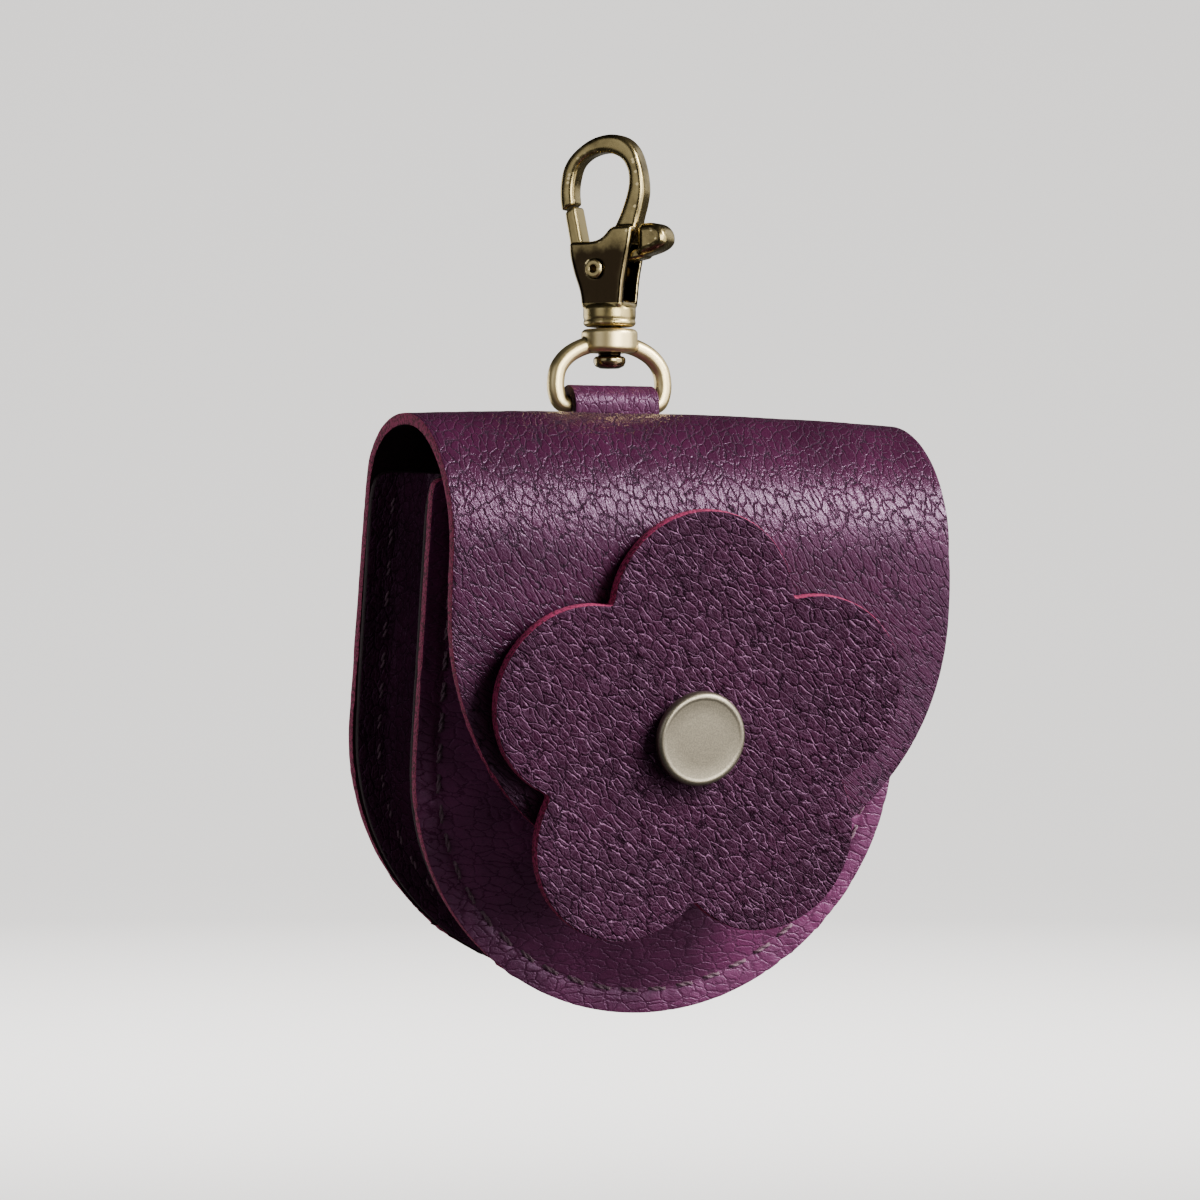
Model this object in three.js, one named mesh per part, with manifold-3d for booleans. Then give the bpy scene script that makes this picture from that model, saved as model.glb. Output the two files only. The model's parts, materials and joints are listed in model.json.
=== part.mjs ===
// A small leather flap pouch hanging from a swivel trigger hook.
// Millimetres, +Z up. The origin is the inner top of the hook, where the pouch hangs,
// and the swivel turns about the Z axis. The pouch's front faces -Y.
import * as THREE from "three";
import { mergeVertices } from "three/addons/utils/BufferGeometryUtils.js";
import Module from "manifold-3d";

const wasm = await Module();
wasm.setup();

// Poses of the three groups
const HOOK_TURN = THREE.MathUtils.degToRad(-52);
const POUCH_TILT = THREE.MathUtils.degToRad(9.5);
const BAR_HEIGHT = -34.5;

// Gap between neighbouring pieces
const GAP = 0.3;

// Leather
const LEATHER = 1.5;
const GUSSET_LEATHER = 1.3;
const TAB_LEATHER = 1.4;
const PETAL_LEATHER = 1.8;

// Pouch frame: the back's outer face is y = 0, the ridge of the fold is z = 0
const BACK = { halfWidth: 36, bend: -43.9 };
const FRONT = { halfWidth: 34.9, bend: -45.2, top: -8.2, y: -22.2 };
const FLAP = { halfWidth: 35.8, bend: -24.4, y: -32.3 };
const FOLD = { halfWidth: 35.6, ridge: -15.2, backHeight: -11.5, frontHeight: -16.5, fullness: 1.85 };
const SNAP = { x: -0.7, z: -40 };

// The front panel domes out inside its flat hem, and less so near its top
const DOME = { depth: 5, hem: 4.4, reach: 24, shallow: 7, full: 26 };

// Small departures of the flap: its sides fall back, it hangs to the right, its ridge droops
const CURL = { depth: 0.2, from: 10, to: 40 };
const DRIFT = { distance: 1.1, from: 10, to: 42 };
const DROOP = { depth: 1.3, highest: -8, reach: 44 };

// Where the rows of a round end stop, and how far below the ridge the gusset's ends are
const ROUND_END = 0.47 * Math.PI;
const GUSSET_TOP = { back: -9.9, front: -8 };

// Flower
const PETALS = 5;
const PETAL_RADIUS = 12.9;
const PETAL_CENTRE = 17;
const PETAL_TURN = THREE.MathUtils.degToRad(92.3);
const FLOWER_SHIFT = 0.4;

// Snap fastener
const CAP = { radius: 6.25, height: 1.7, rim: 0.55, recess: 0.25 };
const SNAP_POST = 1.6;
const POST_REACH = 0.65;
const SOCKET = { radius: 5.6, bore: 3.9, height: 2.8, plate: 0.4 };
const STUD = { base: 3.6, neck: 2.6, head: 3.0, height: 2.3, rivet: 4.2, flange: 0.7 };

// Tab loop and the ring bar inside it
const TAB_WIDTH = 12.5;
const TAB_END = -24;
const TAB_SETTLE = -9;
const WIRE = 1.2;
const BAR = { y: 1.9, z: -1.2 };

// Clasp, in its own frame: face towards -Y, origin at the seat
const HOOK_THICK = 3.1;
const BODY_THICK = 5.6;
const LEVER_THICK = 3.0;
const PIVOT = { x: -0.8, z: -15.9 };
const LEVER_REACH = 9.7;
const LEVER_HUB = 2.5;
const KNOB_THICK = 4.4;
const PIN = { bore: 0.55, shank: 0.95, head: 1.3, lip: 0.3 };
const BASE = { radius: 3.6, top: -20.8, bottom: -23.7 };
const POST_RADIUS = 1.55;
const POST_HEAD = { radius: 2.2, top: -27.7, bottom: -29.4 };
const COLLAR = { radius: 3.85, top: -24, bottom: -27.2 };

// Longer than any piece that a cutting tool goes through
const THROUGH = 12;

const brass = new THREE.MeshStandardMaterial({ color: 0x6e5c3a, roughness: 0.38, metalness: 1 });
const capBrass = new THREE.MeshStandardMaterial({ color: 0xa09585, roughness: 0.45, metalness: 1 });
const plum = new THREE.MeshStandardMaterial({ color: 0x5b2a45, roughness: 0.6, metalness: 0 });
const darkPlum = new THREE.MeshStandardMaterial({ color: 0x3c1c2e, roughness: 0.65, metalness: 0 });

// A geometry as a solid that can be cut and joined. A solid passes through unchanged.
const toSolid = (shape) => {
  if (!shape.isBufferGeometry) return shape;
  const bare = shape.clone();
  bare.deleteAttribute("normal");
  bare.deleteAttribute("uv");
  const merged = mergeVertices(bare, 1e-4);
  return new wasm.Manifold(new wasm.Mesh({
    numProp: 3,
    vertProperties: Float32Array.from(merged.attributes.position.array),
    triVerts: Uint32Array.from(merged.index.array),
  }));
};

const toGeometry = (solid) => {
  const mesh = solid.getMesh();
  const geometry = new THREE.BufferGeometry();
  geometry.setAttribute("position", new THREE.BufferAttribute(mesh.vertProperties, 3));
  geometry.setIndex(new THREE.BufferAttribute(mesh.triVerts, 1));
  geometry.computeVertexNormals();
  return geometry;
};

const cut = (shape, ...tools) => tools.reduce((solid, tool) => solid.subtract(toSolid(tool)), toSolid(shape));

const join = (shape, ...others) => others.reduce((solid, other) => solid.add(toSolid(other)), toSolid(shape));

const smooth = (from, to, value) => THREE.MathUtils.smoothstep(value, from, to);

// A solid of revolution about the Z axis from a closed list of [radius, height]
const turned = (profile, sides) => {
  const points = profile.map(([radius, height]) => new THREE.Vector2(radius, height));
  const geometry = new THREE.LatheGeometry(points, sides);
  return geometry.rotateX(Math.PI / 2);
};

// The same, pointing forward from the back at the place of the snap
const turnedForward = (profile, sides) =>
  turned(profile, sides).rotateX(Math.PI / 2).translate(SNAP.x, 0, SNAP.z);

// A flat outline in X and Z, given thickness about y = 0 and rounded edges
const plate = (shape, thickness, bevel, steps) => {
  const geometry = new THREE.ExtrudeGeometry(shape, {
    depth: thickness - 2 * bevel,
    bevelEnabled: bevel > 0,
    bevelSize: bevel,
    bevelThickness: bevel,
    bevelOffset: -bevel,
    bevelSegments: 2,
    curveSegments: steps,
  });
  return geometry.rotateX(Math.PI / 2).translate(0, (thickness - 2 * bevel) / 2, 0);
};

const curveThrough = (shape, corners) => shape.splineThru(corners.map(([x, z]) => new THREE.Vector2(x, z)));

// A wall of leather around the grid of points of its middle surface. rows[i][j] runs along
// the piece in i and across it in j. A wrapped grid closes on itself in j.
const wall = (rows, thickness, wrapped = false) => {
  const height = rows.length;
  const width = rows[0].length;
  const at = (i, j) => rows[Math.min(Math.max(i, 0), height - 1)][
    wrapped ? (j + width) % width : Math.min(Math.max(j, 0), width - 1)];
  const positions = [];
  for (const side of [0.5, -0.5]) {
    rows.forEach((row, i) => row.forEach((point, j) => {
      const along = at(i + 1, j).clone().sub(at(i - 1, j));
      const across = at(i, j + 1).clone().sub(at(i, j - 1));
      const normal = across.cross(along).normalize();
      positions.push(...normal.multiplyScalar(side * thickness).add(point).toArray());
    }));
  }
  const layer = height * width;
  const indices = [];
  const quad = (a, b, c, d) => indices.push(a, b, c, a, c, d);
  const columns = wrapped ? width : width - 1;
  for (let i = 0; i < height - 1; i += 1) {
    for (let j = 0; j < columns; j += 1) {
      const next = (j + 1) % width;
      const [a, b, c, d] = [i * width + j, i * width + next, (i + 1) * width + next, (i + 1) * width + j];
      quad(a, b, c, d);
      quad(layer + a, layer + d, layer + c, layer + b);
    }
  }
  for (let j = 0; j < columns; j += 1) {
    const next = (j + 1) % width;
    const last = (height - 1) * width;
    quad(next, j, layer + j, layer + next);
    quad(last + j, last + next, layer + last + next, layer + last + j);
  }
  if (!wrapped) {
    for (let i = 0; i < height - 1; i += 1) {
      const [low, high] = [i * width, (i + 1) * width];
      quad(low, high, layer + high, layer + low);
      quad(high + width - 1, low + width - 1, layer + low + width - 1, layer + high + width - 1);
    }
  }
  const geometry = new THREE.BufferGeometry();
  geometry.setAttribute("position", new THREE.Float32BufferAttribute(positions, 3));
  geometry.setIndex(indices);
  geometry.computeVertexNormals();
  return geometry;
};

// How far the flap's edges fall back behind its middle, at a place on the flap
const flapCurl = (x, z) => CURL.depth * (x / FLAP.halfWidth) ** 2 * smooth(CURL.from, CURL.to, -z);

// How far the flap hangs to the right of the middle, at a height
const flapDrift = (z) => DRIFT.distance * smooth(DRIFT.from, DRIFT.to, -z);

// How far the ridge of the fold sinks towards its two ends
const ridgeDroop = (x) => DROOP.depth * ((x - DROOP.highest) / DROOP.reach) ** 2;

// The front panel's outer surface: flat at the hem and domed inside it
const frontFace = (x, z) => {
  const low = z < FRONT.bend;
  const inset = FRONT.halfWidth - (low ? Math.hypot(x, z - FRONT.bend) : Math.abs(x));
  const rise = Math.sin(THREE.MathUtils.clamp((inset - DOME.hem) / DOME.reach, 0, 1) * Math.PI / 2);
  return FRONT.y - DOME.depth * rise * (1 + smooth(DOME.shallow, DOME.full, -z)) / 2;
};

const snapHole = (y) =>
  new THREE.CylinderGeometry(SNAP_POST + GAP, SNAP_POST + GAP, THROUGH, 20).translate(SNAP.x, y, SNAP.z);

// Rows of a panel with straight sides above a round end: [height, half width]
const roundEndRows = ({ halfWidth, bend }, count) =>
  Array.from({ length: count }, (_, i) => {
    const angle = (ROUND_END * i) / (count - 1);
    return [bend - halfWidth * Math.sin(angle), halfWidth * Math.cos(angle)];
  });

const acrossRow = (halfWidth, columns, place) =>
  Array.from({ length: columns + 1 }, (_, j) => place(halfWidth * ((2 * j) / columns - 1)));

// One piece of leather: the back, the fold over the top and the flap down the front
const backFlapPanel = () => {
  const columns = 12;
  const rows = [];
  const half = LEATHER / 2;
  for (const [z, width] of roundEndRows(BACK, 10).reverse()) {
    rows.push(acrossRow(width, columns, (x) => new THREE.Vector3(x, -half, z)));
  }
  for (const share of [0.35, 0.7]) {
    const z = THREE.MathUtils.lerp(BACK.bend, FOLD.backHeight, share);
    const width = THREE.MathUtils.lerp(BACK.halfWidth, FOLD.halfWidth, share);
    rows.push(acrossRow(width, columns, (x) => new THREE.Vector3(x, -half, z)));
  }
  const foldSteps = 14;
  for (let i = 0; i <= foldSteps; i += 1) {
    const angle = (Math.PI * i) / foldSteps;
    const behind = angle < Math.PI / 2;
    const reach = behind ? -FOLD.ridge - half : FOLD.ridge - FLAP.y - half;
    const low = behind ? FOLD.backHeight : FOLD.frontHeight;
    const power = behind ? 1 : 2 / FOLD.fullness;
    const y = FOLD.ridge + Math.sign(Math.cos(angle)) * reach * Math.abs(Math.cos(angle)) ** power;
    const rise = Math.sin(angle) ** power;
    const z = low + (-half - low) * rise;
    rows.push(acrossRow(FOLD.halfWidth, columns, (x) =>
      new THREE.Vector3(x, y + flapCurl(x, z), z - ridgeDroop(x) * rise)));
  }
  for (const [z, width] of roundEndRows(FLAP, 11)) {
    rows.push(acrossRow(width, columns, (x) =>
      new THREE.Vector3(x + flapDrift(z), FLAP.y + half + flapCurl(x, z), z)));
  }
  return cut(wall(rows, LEATHER), snapHole(FLAP.y));
};

const frontPanel = () => {
  const columns = 16;
  const rows = [];
  const levels = 4;
  const half = LEATHER / 2;
  const place = (z) => (x) => new THREE.Vector3(x, frontFace(x, z) + half, z);
  for (let i = 0; i < levels; i += 1) {
    const z = THREE.MathUtils.lerp(FRONT.top, FRONT.bend, i / levels);
    rows.push(acrossRow(FRONT.halfWidth, columns, place(z)));
  }
  for (const [z, width] of roundEndRows(FRONT, 12)) {
    rows.push(acrossRow(width, columns, place(z)));
  }
  return cut(wall(rows, LEATHER), snapHole(FRONT.y - DOME.depth));
};

// The channel between back and front, with both edges turned outward against the panels
const gusset = () => {
  const back = -LEATHER - GAP - GUSSET_LEATHER / 2;
  const front = FRONT.y + LEATHER + GAP + GUSSET_LEATHER / 2;
  const section = [
    { inset: 0.2, y: back },
    { inset: 3.6, y: back },
    { inset: 4.7, y: back - 0.5 },
    { inset: 5.2, y: back - 1.6 },
    { inset: 5.9, y: back - 4.6 },
    { inset: 6.6, y: (back + front) / 2 },
    { inset: 5.9, y: front + 4.6 },
    { inset: 5.2, y: front + 1.6 },
    { inset: 4.7, y: front + 0.5 },
    { inset: 3.6, y: front },
    { inset: 0.2, y: front },
  ];
  const straight = 3;
  const round = 24;
  const rows = [];
  for (let i = -straight; i <= round + straight; i += 1) {
    rows.push(section.map(({ inset, y }) => {
      const share = (y - back) / (front - back);
      const radius = THREE.MathUtils.lerp(BACK.halfWidth, FRONT.halfWidth, share) - inset;
      const bend = THREE.MathUtils.lerp(BACK.bend, FRONT.bend, share);
      const top = THREE.MathUtils.lerp(GUSSET_TOP.back, GUSSET_TOP.front, share);
      const angle = Math.PI * (1 + THREE.MathUtils.clamp(i / round, 0, 1));
      const above = Math.max(-i, i - round, 0) / straight;
      return new THREE.Vector3(
        radius * Math.cos(angle),
        y,
        THREE.MathUtils.lerp(bend, top, above) + radius * Math.sin(angle),
      );
    }));
  }
  return wall(rows, GUSSET_LEATHER);
};

// A strap folded round the ring bar, both ends lying on the outside of the back
const tabLoop = () => {
  const inner = WIRE + GAP;
  const outer = inner + TAB_LEATHER;
  const near = GAP;
  const lap = near + TAB_LEATHER;
  const far = lap + GAP;
  const back = far + TAB_LEATHER;
  const bend = TAB_SETTLE + 3;
  const shape = new THREE.Shape();
  shape.moveTo(near, TAB_END);
  shape.lineTo(near, TAB_SETTLE);
  shape.quadraticCurveTo(near, bend, BAR.y - outer, BAR.z - inner);
  shape.lineTo(BAR.y - outer, BAR.z);
  shape.absarc(BAR.y, BAR.z, outer, Math.PI, 0, true);
  shape.quadraticCurveTo(back, bend, back, TAB_SETTLE);
  shape.lineTo(back, TAB_END);
  shape.lineTo(far, TAB_END);
  shape.lineTo(far, TAB_SETTLE);
  shape.quadraticCurveTo(far, bend, BAR.y + inner, BAR.z);
  shape.absarc(BAR.y, BAR.z, inner, 0, Math.PI, false);
  shape.quadraticCurveTo(lap, bend, lap, TAB_SETTLE);
  shape.lineTo(lap, TAB_END);
  shape.closePath();
  const geometry = new THREE.ExtrudeGeometry(shape, {
    depth: TAB_WIDTH, bevelEnabled: false, curveSegments: 10,
  });
  const upright = new THREE.Matrix4().makeBasis(
    new THREE.Vector3(0, 1, 0), new THREE.Vector3(0, 0, 1), new THREE.Vector3(1, 0, 0));
  return geometry.applyMatrix4(upright).translate(-TAB_WIDTH / 2, 0, 0);
};

// Distance from the flower's middle to its edge in one direction
const petalEdge = (angle) => {
  const step = (2 * Math.PI) / PETALS;
  const off = THREE.MathUtils.euclideanModulo(angle - PETAL_TURN + step / 2, step) - step / 2;
  const side = PETAL_CENTRE * Math.sin(off);
  return PETAL_CENTRE * Math.cos(off) + Math.sqrt(PETAL_RADIUS ** 2 - side ** 2);
};

const flower = () => {
  const sectors = 80;
  const rings = [0, 0.5, 1];
  const middle = 1;
  const rows = rings.map((share) => Array.from({ length: sectors }, (_, j) => {
    const angle = PETAL_TURN + (2 * Math.PI * j) / sectors;
    const radius = THREE.MathUtils.lerp(middle, petalEdge(angle), share);
    const x = SNAP.x + FLOWER_SHIFT + radius * Math.cos(angle);
    const z = SNAP.z + radius * Math.sin(angle);
    return new THREE.Vector3(x, FLAP.y - GAP - PETAL_LEATHER / 2 + flapCurl(x, z), z);
  }));
  return cut(wall(rows, PETAL_LEATHER, true), snapHole(FLAP.y));
};

// Heights of the snap's turned pieces are measured forward from the back, along -Y
const snapCap = () => {
  const under = -FLAP.y + GAP + PETAL_LEATHER + GAP;
  const face = under + CAP.height;
  const tip = -FLAP.y - LEATHER - POST_REACH;
  const { radius, rim, recess } = CAP;
  return turnedForward([
    [0, tip], [SNAP_POST, tip], [SNAP_POST, under], [radius - 0.4, under], [radius, under + 0.5],
    [radius, face - 0.4], [radius - rim, face], [radius - 2 * rim, face - recess], [0, face - recess],
  ], 32);
};

const snapSocket = () => {
  const top = -FLAP.y - LEATHER - GAP;
  const { radius, bore, height, plate: lid } = SOCKET;
  return turnedForward([
    [SNAP_POST + GAP, top - lid], [bore, top - lid], [bore, top - height], [radius - 0.5, top - height],
    [radius, top - height + 0.5], [radius, top], [SNAP_POST + GAP, top], [SNAP_POST + GAP, top - lid],
  ], 24);
};

const snapStud = () => {
  const outside = -FRONT.y + DOME.depth;
  const base = outside + GAP;
  const inside = outside - LEATHER - GAP;
  const top = base + STUD.height;
  const { base: foot, neck, head, rivet, flange } = STUD;
  return turnedForward([
    [0, inside - flange], [rivet, inside - flange], [rivet, inside], [SNAP_POST, inside], [SNAP_POST, base],
    [foot, base], [foot, base + 0.6], [neck, base + 0.6], [neck, top - 1.1], [head, top - 0.7],
    [head, top - 0.3], [head - 0.4, top], [0, top],
  ], 24);
};

// Clasp pieces
const hookShape = () => {
  const shape = new THREE.Shape();
  shape.moveTo(-6.8, -7.9);
  curveThrough(shape, [
    [-7.05, -6], [-7, -4], [-6.4, -1.6], [-4.9, 0.3], [-2.4, 1.9], [0.4, 2.5], [2.7, 2],
    [4.4, 0.4], [5.4, -2.2], [5.8, -5], [5.5, -7.2], [4.9, -9.4], [4.4, -12.4],
  ]);
  shape.lineTo(0.2, -12.4);
  shape.lineTo(0, -11.5);
  curveThrough(shape, [
    [1, -10.6], [1.9, -9.1], [2.6, -7.5], [3.2, -5.8], [3.5, -4.2], [3.3, -2.4], [2.2, -0.8],
    [0, 0], [-2.4, -0.4], [-4.1, -1.6], [-4.8, -3.4], [-5, -5.2], [-4.8, -7.2],
  ]);
  shape.closePath();
  return shape;
};

const housingShape = () => {
  const foot = BASE.top - 0.4;
  const shape = new THREE.Shape();
  shape.moveTo(-3, foot);
  curveThrough(shape, [[-3.3, -19], [-4.2, -16.4], [-4.8, -14], [-4.9, -12.6]]);
  shape.quadraticCurveTo(-4.9, -12.1, -4.3, -12.1);
  shape.lineTo(-1.6, -12.1);
  shape.quadraticCurveTo(0, -12, 0.9, -10.8);
  shape.quadraticCurveTo(1.4, -10.2, 2.2, -10.1);
  shape.lineTo(4.2, -10.1);
  shape.quadraticCurveTo(4.7, -10.2, 4.65, -10.9);
  curveThrough(shape, [[4.35, -12.7], [3.9, -14.7], [3.4, -17.4], [3.2, -19.4], [3, foot]]);
  shape.closePath();
  return shape;
};

// The space between the cheeks, open towards the eye, at the left shoulder and on the right
const channelShape = () => {
  const side = 8;
  const floor = BASE.top + 0.5;
  return new THREE.Shape([
    [-side, -9.5], [1, -9.5], [1, -12.7], [side, -12.7], [side, floor], [2, floor], [-1.8, -19],
    [-4.2, -16.6], [-4.2, -15.6], [-side, -15.6],
  ].map(([x, z]) => new THREE.Vector2(x, z)));
};

const aboutPivot = (radius, sides) =>
  new THREE.CylinderGeometry(radius, radius, THROUGH, sides).translate(PIVOT.x, 0, PIVOT.z);

// The hook's tip ends on the arc that the lever's finger swings through
const tipSweep = () => {
  const arm = new THREE.BoxGeometry(4 * THROUGH, 2 * THROUGH, 4 * THROUGH)
    .translate(2 * THROUGH - 3.2, 0, PIVOT.z);
  return cut(aboutPivot(LEVER_REACH + GAP, 48), arm);
};

const claspBody = () => {
  const hook = cut(plate(hookShape(), HOOK_THICK, 0.5, 2), tipSweep());
  const housing = plate(housingShape(), BODY_THICK, 0.5, 2);
  const base = turned([
    [0, BASE.bottom], [BASE.radius - 0.3, BASE.bottom], [BASE.radius, BASE.bottom + 0.3],
    [BASE.radius, BASE.bottom + 0.7], [BASE.radius - 0.25, BASE.bottom + 0.85],
    [BASE.radius, BASE.bottom + 1], [BASE.radius, BASE.top - 0.3], [BASE.radius - 0.5, BASE.top], [0, BASE.top],
  ], 32);
  const channel = plate(channelShape(), LEVER_THICK + 2 * GAP, 0, 4);
  const boreDepth = 2.3;
  const postBore = new THREE.CylinderGeometry(POST_RADIUS + GAP, POST_RADIUS + GAP, 2 * boreDepth, 20)
    .rotateX(Math.PI / 2).translate(0, 0, BASE.bottom);
  return cut(join(hook, housing, base), channel, aboutPivot(PIN.shank + GAP, 20), postBore);
};

const gateLever = () => {
  const shape = new THREE.Shape();
  const fingerEnds = [Math.PI - 0.97, Math.PI - 1.16];
  shape.moveTo(-5.3, -13);
  for (const angle of fingerEnds) {
    shape.lineTo(PIVOT.x + LEVER_REACH * Math.cos(angle), PIVOT.z + LEVER_REACH * Math.sin(angle));
  }
  shape.lineTo(-3.6, -12);
  shape.quadraticCurveTo(-2.8, -13.4, 0, -13.4);
  shape.lineTo(6, -13.1);
  shape.lineTo(6, -14.5);
  shape.absarc(PIVOT.x, PIVOT.z, LEVER_HUB, 0.25, -2.9, true);
  shape.closePath();
  const bar = plate(shape, LEVER_THICK, 0.25, 4);
  const pad = new THREE.Shape();
  pad.moveTo(5, -10);
  pad.quadraticCurveTo(7.2, -9.5, 8.4, -10.2);
  pad.quadraticCurveTo(9.5, -11, 9.3, -12.4);
  pad.quadraticCurveTo(9, -13.4, 7.2, -13.9);
  pad.lineTo(5, -14.5);
  pad.closePath();
  const knob = plate(pad, KNOB_THICK, 0.8, 3);
  return cut(join(bar, knob), aboutPivot(PIN.shank + GAP, 20));
};

const gatePin = () => {
  const face = BODY_THICK / 2 + GAP;
  const { bore, shank, head, lip } = PIN;
  const end = face + lip;
  return turned([
    [bore, -end], [head - 0.2, -end], [head, -face], [shank, -face], [shank, face], [head, face],
    [head - 0.2, end], [bore, end], [bore, -end],
  ], 24).rotateX(Math.PI / 2).translate(PIVOT.x, 0, PIVOT.z);
};

const swivelPost = () => {
  const { radius, top, bottom } = POST_HEAD;
  return turned([
    [0, bottom], [radius - 0.8, bottom], [radius, bottom + 0.7], [radius, top - 0.3], [radius - 0.3, top],
    [POST_RADIUS, top], [POST_RADIUS, BASE.bottom + 2], [0, BASE.bottom + 2],
  ], 24);
};

// The D ring under its collar. The path is the middle of the wire.
const swivelRing = () => {
  const half = [[0, -26], [3, -26.2], [5.8, -27.4], [7.5, -29.2], [8, -31.2], [7.85, -32.9], [7.2, -34.1]];
  const bar = [[5.6, BAR_HEIGHT], [2, BAR_HEIGHT]];
  const right = [...half, ...bar];
  const left = right.slice(1).reverse().map(([x, z]) => [-x, z]);
  const path = new THREE.CatmullRomCurve3(
    [...right, ...left].map(([x, z]) => new THREE.Vector3(x, 0, z)), true, "centripetal");
  const wire = new THREE.TubeGeometry(path, 48, WIRE, 8, true);
  const { radius, top, bottom } = COLLAR;
  const collar = turned([
    [0, bottom], [radius - 0.5, bottom], [radius, bottom + 0.5], [radius, top - 0.4], [radius - 0.4, top], [0, top],
  ], 32);
  const bore = new THREE.CylinderGeometry(POST_RADIUS + GAP, POST_RADIUS + GAP, THROUGH, 20)
    .rotateX(Math.PI / 2).translate(0, 0, (top + bottom) / 2);
  return cut(join(wire, collar), bore);
};

const piece = (name, shape, material) => {
  const mesh = new THREE.Mesh(shape.isBufferGeometry ? shape : toGeometry(shape), material);
  mesh.name = name;
  return mesh;
};

const clasp = new THREE.Group();
clasp.rotation.z = HOOK_TURN;
clasp.add(
  piece("clasp_body", claspBody(), brass),
  piece("gate_lever", gateLever(), brass),
  piece("gate_pin", gatePin(), brass),
);

const swivel = new THREE.Group();
swivel.add(
  piece("swivel_post", swivelPost(), brass),
  piece("swivel_ring", swivelRing(), brass),
);

const leather = new THREE.Group();
leather.position.set(0, -BAR.y, -BAR.z);
leather.add(
  piece("back_flap_panel", backFlapPanel(), plum),
  piece("front_panel", frontPanel(), darkPlum),
  piece("gusset", gusset(), darkPlum),
  piece("tab_loop", tabLoop(), plum),
  piece("flower", flower(), plum),
  piece("snap_cap", snapCap(), capBrass),
  piece("snap_socket", snapSocket(), brass),
  piece("snap_stud", snapStud(), brass),
);

const pouch = new THREE.Group();
pouch.position.set(0, 0, BAR_HEIGHT);
pouch.rotation.x = POUCH_TILT;
pouch.add(leather);

const group = new THREE.Group();
group.add(clasp, swivel, pouch);
export default group;
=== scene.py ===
"""Looks of a small plum leather flap pouch that hangs from a swivel trigger hook.

Pieces are modelled in millimetres, in the pouch's own frame, the clasp's or that of the
whole part, and then brought to metres and to their place. In the pouch's frame the outside
of the back is y = 0, the ridge of the fold is z = 0 and the front faces -Y.
"""

import json
import math

import bmesh
import bpy
from bpy.props import FloatProperty, FloatVectorProperty, PointerProperty
from mathutils import Matrix, Vector, noise

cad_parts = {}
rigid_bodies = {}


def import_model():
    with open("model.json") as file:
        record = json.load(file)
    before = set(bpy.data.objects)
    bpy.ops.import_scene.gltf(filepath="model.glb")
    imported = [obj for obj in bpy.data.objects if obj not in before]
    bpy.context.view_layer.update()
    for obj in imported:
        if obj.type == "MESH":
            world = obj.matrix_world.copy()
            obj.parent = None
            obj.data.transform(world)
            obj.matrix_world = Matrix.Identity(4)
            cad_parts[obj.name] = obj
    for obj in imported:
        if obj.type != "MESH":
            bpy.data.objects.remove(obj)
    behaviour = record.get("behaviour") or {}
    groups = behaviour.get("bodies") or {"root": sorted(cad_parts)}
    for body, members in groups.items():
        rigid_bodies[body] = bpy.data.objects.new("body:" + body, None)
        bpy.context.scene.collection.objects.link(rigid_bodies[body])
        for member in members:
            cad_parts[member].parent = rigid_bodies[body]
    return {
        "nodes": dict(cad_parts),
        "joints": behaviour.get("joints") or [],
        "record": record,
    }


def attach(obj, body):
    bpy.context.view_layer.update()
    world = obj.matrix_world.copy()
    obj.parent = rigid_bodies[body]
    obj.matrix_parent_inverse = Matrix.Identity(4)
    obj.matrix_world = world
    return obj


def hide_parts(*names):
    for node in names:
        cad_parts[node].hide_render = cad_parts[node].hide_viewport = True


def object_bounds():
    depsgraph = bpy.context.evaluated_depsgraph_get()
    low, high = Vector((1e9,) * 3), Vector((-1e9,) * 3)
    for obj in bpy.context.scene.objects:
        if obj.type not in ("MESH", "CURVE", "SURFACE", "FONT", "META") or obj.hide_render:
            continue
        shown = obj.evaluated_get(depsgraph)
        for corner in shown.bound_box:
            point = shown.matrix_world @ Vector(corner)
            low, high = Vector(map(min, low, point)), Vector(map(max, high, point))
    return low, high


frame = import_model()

bl_info = {
    "name": "Plum flap pouch",
    "version": (1, 0, 0),
    "blender": (4, 5, 0),
    "location": "View3D > Sidebar > Pouch",
    "description": "Finishes the leather, thread and metal of a small hanging flap pouch",
    "category": "Object",
}

CAD_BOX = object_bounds()
MM = 0.001

# Where the CAD puts the pouch and the clasp
RECORD = frame["record"]
JOINTS = {joint["name"]: joint for joint in frame["joints"]}
MOUNTS = {mount["name"]: mount for mount in RECORD["mounts"]}
BACK_AXIS = MOUNTS["back_face"]["axis"]
POUCH_TILT = math.atan2(BACK_AXIS[2], BACK_AXIS[1])
RING_BAR = Vector(JOINTS["pouch_swing"]["pos_m"])
GATE_AXIS = JOINTS["gate_pivot"]["axis"]
HOOK_TURN = -math.atan2(GATE_AXIS[0], GATE_AXIS[1])

# Sizes of the leather in the pouch's frame, in millimetres
GAP = 0.3
LEATHER = 1.5
GUSSET_LEATHER = 1.3
TAB_LEATHER = 1.4
PETAL_LEATHER = 1.8
BACK = {"half": 36.0, "bend": -43.9}
FRONT = {"half": 34.9, "bend": -45.2, "top": -8.2, "y": -22.2, "dome": 5.0, "hem": 4.4}
FLAP = {"half": 35.8, "bend": -24.4, "y": -32.3, "curl": 0.2, "drift": 1.1}
FOLD = {"half": 35.6, "ridge": -15.2, "back": -11.5, "front": -16.5, "fullness": 1.85, "droop": 1.3}
GUSSET_TOPS = (-9.9, -8.0)
SNAP = (-0.7, -40.0)
SNAP_HOLE = 1.9
BAR = (1.9, -1.2)
WIRE = 1.2
TAB_HALF = 6.25
TAB_END = -24.0
TAB_SETTLE = -9.0

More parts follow.
